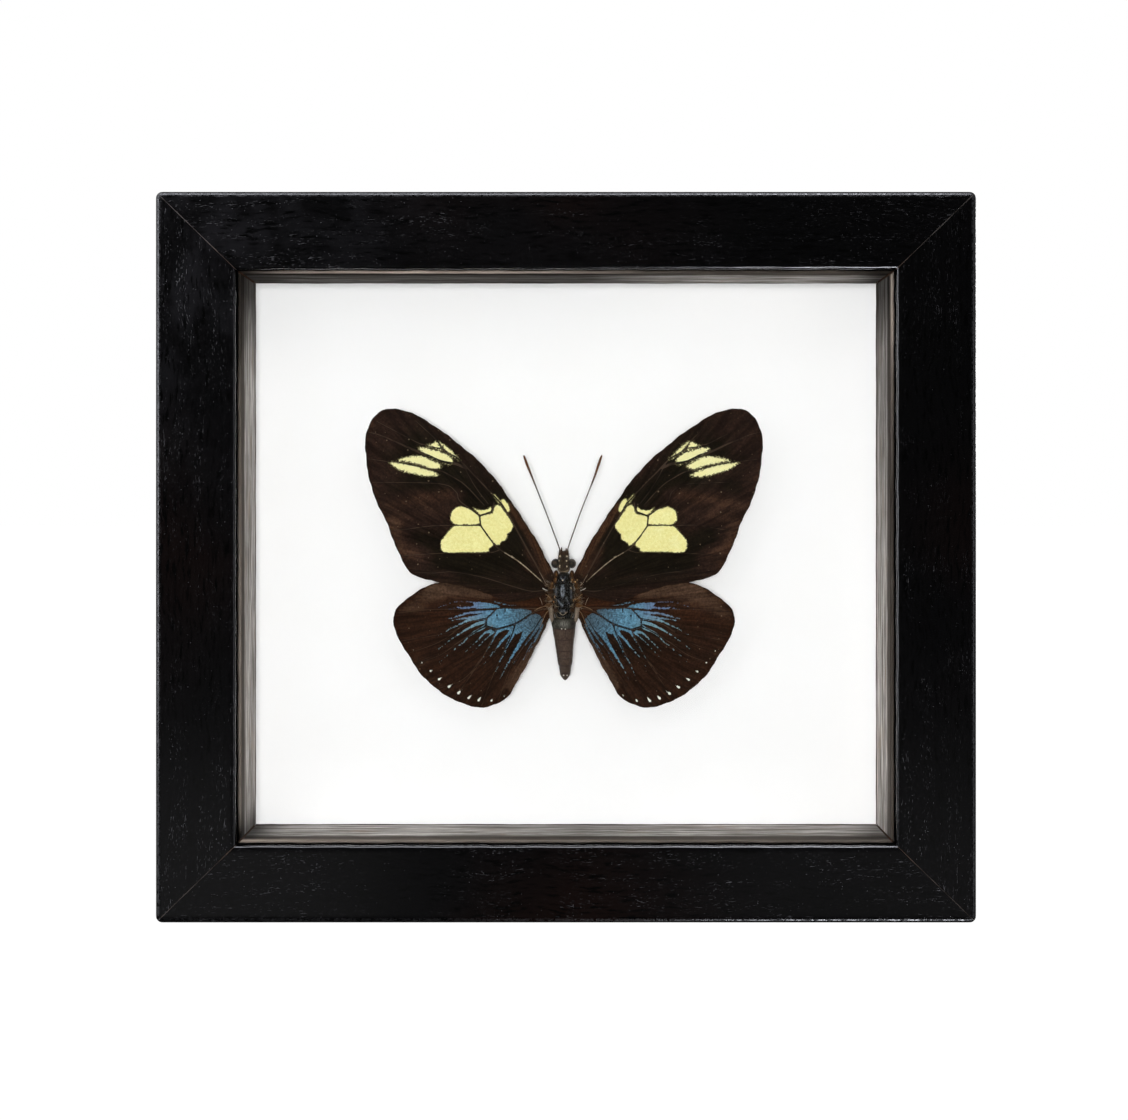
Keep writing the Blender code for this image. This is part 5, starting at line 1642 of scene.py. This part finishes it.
def make_fur(rng):
    """Hairs over the shoulders, wing roots, head, abdomen and the hindwings' inner margins."""
    fur = Parts()
    for _ in range(SHOULDER_HAIRS):
        side = rng.choice((-1, 1))
        up = rng.uniform(-2.6, 4.3)
        lean = math.radians(rng.uniform(35, 105))
        taper = 1 - 0.02 * up * up
        root = (side * 2.15 * math.sin(lean) * taper, -2.3 * math.cos(lean) * taper, up)
        length = rng.uniform(0.3, 0.95)
        way = np.array([side * math.sin(lean), -math.cos(lean) * 0.5, rng.uniform(-0.9, 0.25)])
        way = way / np.linalg.norm(way) * length
        fur.hair(root, way, rng.uniform(0.015, 0.03), rng.choice((0.1, 0.25, 0.3, 0.55, 0.8)))
    for _ in range(ROOT_HAIRS):
        side = rng.choice((-1, 1))
        root = (side * rng.uniform(2.2, 3.6), -rng.uniform(0.75, 1.15), rng.uniform(-2.6, 3.0))
        way = np.array([side * rng.uniform(0.4, 1.0), -rng.uniform(0.0, 0.25), rng.uniform(-0.7, 0.6)])
        way = way * rng.uniform(0.5, 1.4)
        fur.hair(root, way, rng.uniform(0.014, 0.028), rng.choice((0.2, 0.45, 0.6, 0.75, 0.95)))
    for _ in range(HEAD_HAIRS):
        rng.choice((-1, 1))  # This draw isn't used; it only moves the random numbers on.
        up = rng.uniform(5.0, 9.3)
        lean = math.radians(rng.uniform(-70, 70))
        root = (1.15 * math.sin(lean) - 0.06, -1.35 * math.cos(lean), up)
        way = (0.35 * math.sin(lean), -0.2, rng.uniform(0.1, 0.5))
        fur.hair(root, way, rng.uniform(0.015, 0.028), rng.choice((0.05, 0.15, 0.3, 0.6)))
    down = [-up for up, _, _, _ in ABDOMEN_RINGS]
    shifts = [shift for _, shift, _, _ in ABDOMEN_RINGS]
    widths = [width for _, _, width, _ in ABDOMEN_RINGS]
    for _ in range(ABDOMEN_HAIRS):
        side = rng.choice((-1, 1))
        up = rng.uniform(-17.0, -5.2)
        wide = np.interp(-up, down, widths)
        lean = math.radians(rng.uniform(60, 110))
        out = np.interp(-up, down, shifts) + side * wide * math.sin(lean)
        way = (side * 0.13, -0.05, -rng.uniform(0.15, 0.4))
        fur.hair((out, -wide * math.cos(lean), up), way, 0.016, rng.choice((0.2, 0.4, 0.6)))
    for _ in range(FRINGE_HAIRS):
        side = rng.choice((-1, 1))
        share = rng.uniform(0, 1)
        root = (side * (3.6 + share * 6.2), -0.24, -6.0 - share * 12.3)
        way = (side * rng.uniform(-0.75, 0.1), rng.uniform(-0.1, 0.1), -rng.uniform(0.1, 0.5))
        fur.hair(root, way, 0.014, rng.choice((0.3, 0.5, 0.7)))
    return fur


def make_shells():
    """Head, thorax, abdomen and eyes."""
    make_loft(
        "head_shell", "head", chitin_paint("head_chitin", **HEAD_CHITIN), HEAD_RINGS,
        HEAD_GROOVES, HEAD_GROOVE_DEPTH, head_bumps, HEAD_SPOTS, sheen=[], tan=COLLAR,
    )
    make_loft(
        "thorax_shell", "thorax", chitin_paint("thorax_chitin", **THORAX_CHITIN),
        THORAX_RINGS, THORAX_GROOVES, THORAX_GROOVE_DEPTH, thorax_bumps, THORAX_SPOTS,
        THORAX_SHEEN, TAN_LINES,
    )
    make_loft(
        "abdomen_rings", "abdomen", abdomen_paint(), ABDOMEN_RINGS,
        ABDOMEN_GROOVES, ABDOMEN_GROOVE_DEPTH, abdomen_bumps, ABDOMEN_SPOTS, ABDOMEN_SHEEN, tan=[],
    )
    eyes = Parts()
    for centre, size in EYES:
        eyes.blob(centre, size, rows=40, around=60)
    eyes.build("eyes", eye_paint())


def make_roots():
    """Lobes, vein stubs and membranes at the wing roots, the palps, and the fur."""
    lobes, lines, pale = Parts(), Parts(), Parts()
    for _, side in SIDES:
        for shade, (out, front, up), size in LOBES:
            lobes.blob((side * out, -front, up), size, shade)
        for (out, front, up), size in PALE_LOBES:
            pale.blob((side * out, -front, up), size, 0.5, 20, 28)
        for shade, radius, path in ROOT_LINES:
            curve = smooth_curve([(side * out + ROOT_LEAN * up, -front, up) for out, front, up in path])
            lines.tube(curve, np.linspace(radius, radius * 0.6, len(curve)), shade)
    for centre, size, shade in SMALL_LOBES:
        lobes.blob(centre, size, shade)
    for root, tip, radius in PALPS:
        curve = smooth_curve([root, np.array(root) * 0.45 + np.array(tip) * 0.55, tip])
        lobes.tube(curve, np.linspace(radius, radius * 0.32, len(curve)), 0.07, 10)
    brown = shaded_paint("root_sclerites", **SCLERITE, roughness=0.38)
    cream = shaded_paint("root_veins", **ROOT_VEIN, roughness=0.4)
    skin = shaded_paint("root_membrane", **MEMBRANE_SKIN, roughness=0.6, specular=0.15, mottle=0.35)
    hair = shaded_paint("fur", **FUR, roughness=0.6, specular=0.15)
    lobes.build("root_lobes", brown, slot="body_chitin")
    lines.build("root_veins", cream, slot="body_chitin")
    pale.build("root_membranes", skin, slot="body_chitin")
    make_fur(np.random.default_rng(11)).build("fur", hair, slot="body_chitin")


def make_limbs():
    """Antennae with swollen rings, and legs with knees and spines."""
    horn = antenna_paint()
    leg_horn = shaded_paint("leg_chitin", **LEG_CHITIN, roughness=0.35)
    for name, side in SIDES:
        path = smooth_curve([(side * out, back, up) for out, back, up in ANTENNAE[name]])
        curve = evenly(path, ANTENNA_RING_GAP)
        radii = np.interp(curve[:, 2], ANTENNA_HEIGHTS, ANTENNA_RADII)
        radii = radii * (1 + 0.05 * np.sin(np.arange(len(curve)) * 2.1))
        antenna = Parts()
        antenna.tube(curve, radii, 0.5, 12)
        antenna.build("antenna_rings_" + name, horn, "antenna_" + name, "antenna_horn")
        for leg, path in LEGS.items():
            curve = evenly(smooth_curve([(side * out, back, up) for out, back, up in path]), LEG_RING_GAP)
            share = np.linspace(0, 1, len(curve))
            swell = 1 + 0.25 * np.abs(np.sin(share * math.pi * 3))
            limb = Parts()
            limb.tube(curve, np.interp(share, [0, 0.5, 1], LEG_RADII) * swell, 0.3, 10)
            for spine in curve[len(curve) // 3:-2:3]:
                limb.hair(spine, (side * 0.25, 0.05, -0.3), 0.03, 0.2)
            limb.build("%s_jointed_%s" % (leg, name), leg_horn, "%s_%s" % (leg, name), "body_chitin")


# ---------------------------------------------------------------- back of the frame

HARDBOARD = (0.115, 0.062, 0.030), (0.27, 0.165, 0.088)
HARDBOARD_BLOTCH = (0.15, 0.085, 0.045)
STEEL = dict(colour=(0.56, 0.57, 0.58), wear_and_sheen=(0.30, 0.30, 0.29), roughness=0.28)
BRASS = dict(colour=(0.72, 0.54, 0.27), wear_and_sheen=(0.42, 0.30, 0.15), roughness=0.24)
FOAM = (0.86, 0.86, 0.84), (0.70, 0.70, 0.68)


def hardboard_paint():
    """Brown pressed fibreboard."""
    p = Paint("hardboard")
    where = p.place()
    fibres = p.noise(where, 1.1, 5.0, 0.7, 1.2)
    blotch = p.noise(where, 0.05, 3.0)
    colour = p.mix(p.fade(fibres, 0.35, 0.68), *HARDBOARD)
    colour = p.mix(p.fade(blotch, 0.4, 0.7, 0.0, 0.5), colour, HARDBOARD_BLOTCH)
    return p.surface(colour, 0.5 + fibres * 0.25, p.bump(fibres, 0.00015, 0.5), Specular_IOR_Level=0.3)


def metal_paint(name, colour, wear_and_sheen, roughness):
    """Thin sheet or wire metal with scratches and a duller bloom."""
    p = Paint(name)
    where = p.place()
    bloom = p.noise(where, 0.6, 4.0, 0.65)
    scratches = p.noise(p.place((0.25, 1.0, 5.0)), 1.3, 3.0, 0.6)
    mixed = p.mix(p.fade(bloom, 0.42, 0.70), colour, wear_and_sheen)
    rough = roughness + p.fade(bloom, 0.4, 0.75) * 0.3 + scratches * 0.12
    return p.surface(mixed, rough, p.bump(scratches, 0.00002, 0.5), Metallic=1.0)


def foam_paint():
    """White foam with small cells."""
    p = Paint("white_foam")
    beads, _ = p.cells(p.place(), 4.0)
    colour = p.mix(p.fade(beads, 0.1, 0.6), *FOAM)
    return p.surface(colour, 0.85, p.bump(beads, 0.0001, 0.6), Specular_IOR_Level=0.2)


def make_back_looks():
    """Back panel, framer's points, hanger and the block under the specimen."""
    tin = metal_paint("steel_tabs", **STEEL)
    brass = metal_paint("brassed_steel", **BRASS)
    dress("back_panel", hardboard_paint())
    dress("specimen_block", foam_paint())
    for number in range(1, 7):
        dress("retaining_tab_%d" % number, tin)
    for node in ("sawtooth_hanger", "hanger_nail_left", "hanger_nail_right"):
        dress(node, brass)


# ---------------------------------------------------------------- stage, lights and camera

FLOOR_REACH = 6.0
FLOOR_GLOW = 1.09
FLOOR_DIFFUSE_SHARE = 0.08


def make_stage():
    """A large white floor that hardly takes part in the lighting."""
    mesh = bpy.data.meshes.new("floor")
    bm = bmesh.new()
    bmesh.ops.create_grid(bm, x_segments=1, y_segments=1, size=FLOOR_REACH)
    bm.to_mesh(mesh)
    bm.free()
    p = Paint("floor")
    glow = p.output("Emission", {"Color": (1.0, 1.0, 1.0), "Strength": FLOOR_GLOW})
    plain = p.output("BsdfDiffuse", {"Color": (0.9, 0.9, 0.9)})
    mesh.materials.append(p.finish(p.output("MixShader", {0: FLOOR_DIFFUSE_SHARE, 1: glow, 2: plain})))
    floor = bpy.data.objects.new("floor", mesh)
    bpy.context.scene.collection.objects.link(floor)
    floor.visible_diffuse = False
    floor.visible_glossy = False


WORLD_SEEN = 1.0
WORLD_LIGHT = 0.12
WORLD_REFLECTED = 0.012


def make_world():
    """A white world: bright to the camera, dim as light and nearly dark in reflections."""
    world = bpy.data.worlds.new("studio")
    world.use_nodes = True
    tree = world.node_tree
    tree.nodes.clear()
    path = tree.nodes.new("ShaderNodeLightPath")
    glossy = tree.nodes.new("ShaderNodeMix")
    glossy.inputs[2].default_value = WORLD_LIGHT
    glossy.inputs[3].default_value = WORLD_REFLECTED
    tree.links.new(path.outputs["Is Glossy Ray"], glossy.inputs[0])
    seen = tree.nodes.new("ShaderNodeMix")
    seen.inputs[3].default_value = WORLD_SEEN
    tree.links.new(path.outputs["Is Camera Ray"], seen.inputs[0])
    tree.links.new(glossy.outputs[0], seen.inputs[2])
    background = tree.nodes.new("ShaderNodeBackground")
    background.inputs["Color"].default_value = (1, 1, 1, 1)
    tree.links.new(seen.outputs[0], background.inputs["Strength"])
    output = tree.nodes.new("ShaderNodeOutputWorld")
    tree.links.new(background.outputs[0], output.inputs["Surface"])
    bpy.context.scene.world = world


# What a light does: light surfaces, be seen in reflections, and its colour.
WHITE, COOL = (1, 1, 1), (0.90, 0.92, 1.0)
UNREFLECTED = (True, False, WHITE)
COOL_GLOSS = (False, True, COOL)
WHITE_GLOSS = (False, True, WHITE)
PLAIN = (True, True, WHITE)
# Area lights, all aimed at the frame's middle: name, place, size, power and kind.
LIGHTS = [
    ("front", (-0.03, -1.40, 0.11), (0.22, 0.22), 16.3, UNREFLECTED),
    ("key_top", (-0.05, -1.00, 0.85), (0.80, 0.80), 2.3, UNREFLECTED),
    ("key_left", (-0.60, -1.10, 0.30), (0.40, 0.30), 1.0, UNREFLECTED),
    ("fill", (0.70, -1.00, 0.25), (0.60, 0.60), 0.60, UNREFLECTED),
    ("gloss_top", (-0.35, -0.55, 0.95), (1.50, 0.34), 21.0, COOL_GLOSS),
    ("gloss_left", (-0.85, -0.55, 0.30), (0.26, 0.80), 8.5, COOL_GLOSS),
    ("gloss_right", (0.85, -0.60, 0.00), (0.30, 0.50), 1.15, COOL_GLOSS),
    ("gloss_top_right", (0.20, -0.55, 0.95), (0.22, 0.34), 5.0, COOL_GLOSS),
    ("gloss_low", (0.25, -0.60, -0.60), (0.26, 0.26), 8.5, COOL_GLOSS),
    ("haze_left", (-0.40, -1.40, -0.28), (0.50, 0.25), 0.08, WHITE_GLOSS),
    ("haze_right", (0.36, -1.40, -0.28), (0.50, 0.25), 0.05, WHITE_GLOSS),
    ("side_left", (-1.30, 0.15, 0.50), (0.50, 0.90), 1.0, PLAIN),
    ("side_low_left", (-1.10, 0.60, -0.40), (0.60, 0.50), 0.6, WHITE_GLOSS),
    ("rear_left", (-1.00, 0.90, 0.55), (0.60, 0.60), 0.7, WHITE_GLOSS),
    ("side_right", (1.30, 0.15, 0.50), (0.50, 0.90), 1.0, PLAIN),
    ("side_low_right", (1.10, 0.60, -0.40), (0.60, 0.50), 0.6, WHITE_GLOSS),
    ("rear_right", (1.00, 0.90, 0.55), (0.60, 0.60), 0.7, WHITE_GLOSS),
    ("back", (0.70, 1.50, 0.35), (0.90, 0.50), 12.0, PLAIN),
    ("top", (0.00, 0.30, 1.60), (1.00, 1.00), 5.0, UNREFLECTED),
]


def make_lights():
    """The area lights, none of which the camera sees."""
    middle = Vector((0, 0, HEIGHT / 2))
    for name, place, size, power, (lit, reflected, colour) in LIGHTS:
        data = bpy.data.lights.new(name, "AREA")
        data.shape = "RECTANGLE"
        data.size, data.size_y = size
        data.energy = power
        data.color = colour
        light = bpy.data.objects.new(name, data)
        light.location = place
        light.rotation_euler = (middle - Vector(place)).to_track_quat("-Z", "Y").to_euler()
        light.visible_camera = False
        light.visible_diffuse = lit
        light.visible_glossy = reflected
        bpy.context.scene.collection.objects.link(light)


CAMERA_LENS = 63.57
CAMERA_SHIFT = -0.0532
CAMERA_DISTANCE = 0.400
CAMERA_HEIGHT = 0.085


def make_camera():
    """Front view at the height and distance that the frame's inner walls give."""
    data = bpy.data.cameras.new("camera")
    data.sensor_width = 36.0
    data.lens = CAMERA_LENS
    data.shift_y = CAMERA_SHIFT
    camera = bpy.data.objects.new("camera", data)
    camera.location = (SPECIMEN.x, FRONT_Y - CAMERA_DISTANCE, CAMERA_HEIGHT)
    camera.rotation_euler = (math.pi / 2, 0, 0)
    bpy.context.scene.collection.objects.link(camera)
    bpy.context.scene.camera = camera


make_camera()
make_world()
make_lights()
make_stage()
make_frame_looks()
make_wings()
make_shells()
make_roots()
make_limbs()
make_back_looks()

bpy.context.scene.view_settings.view_transform = "Standard"
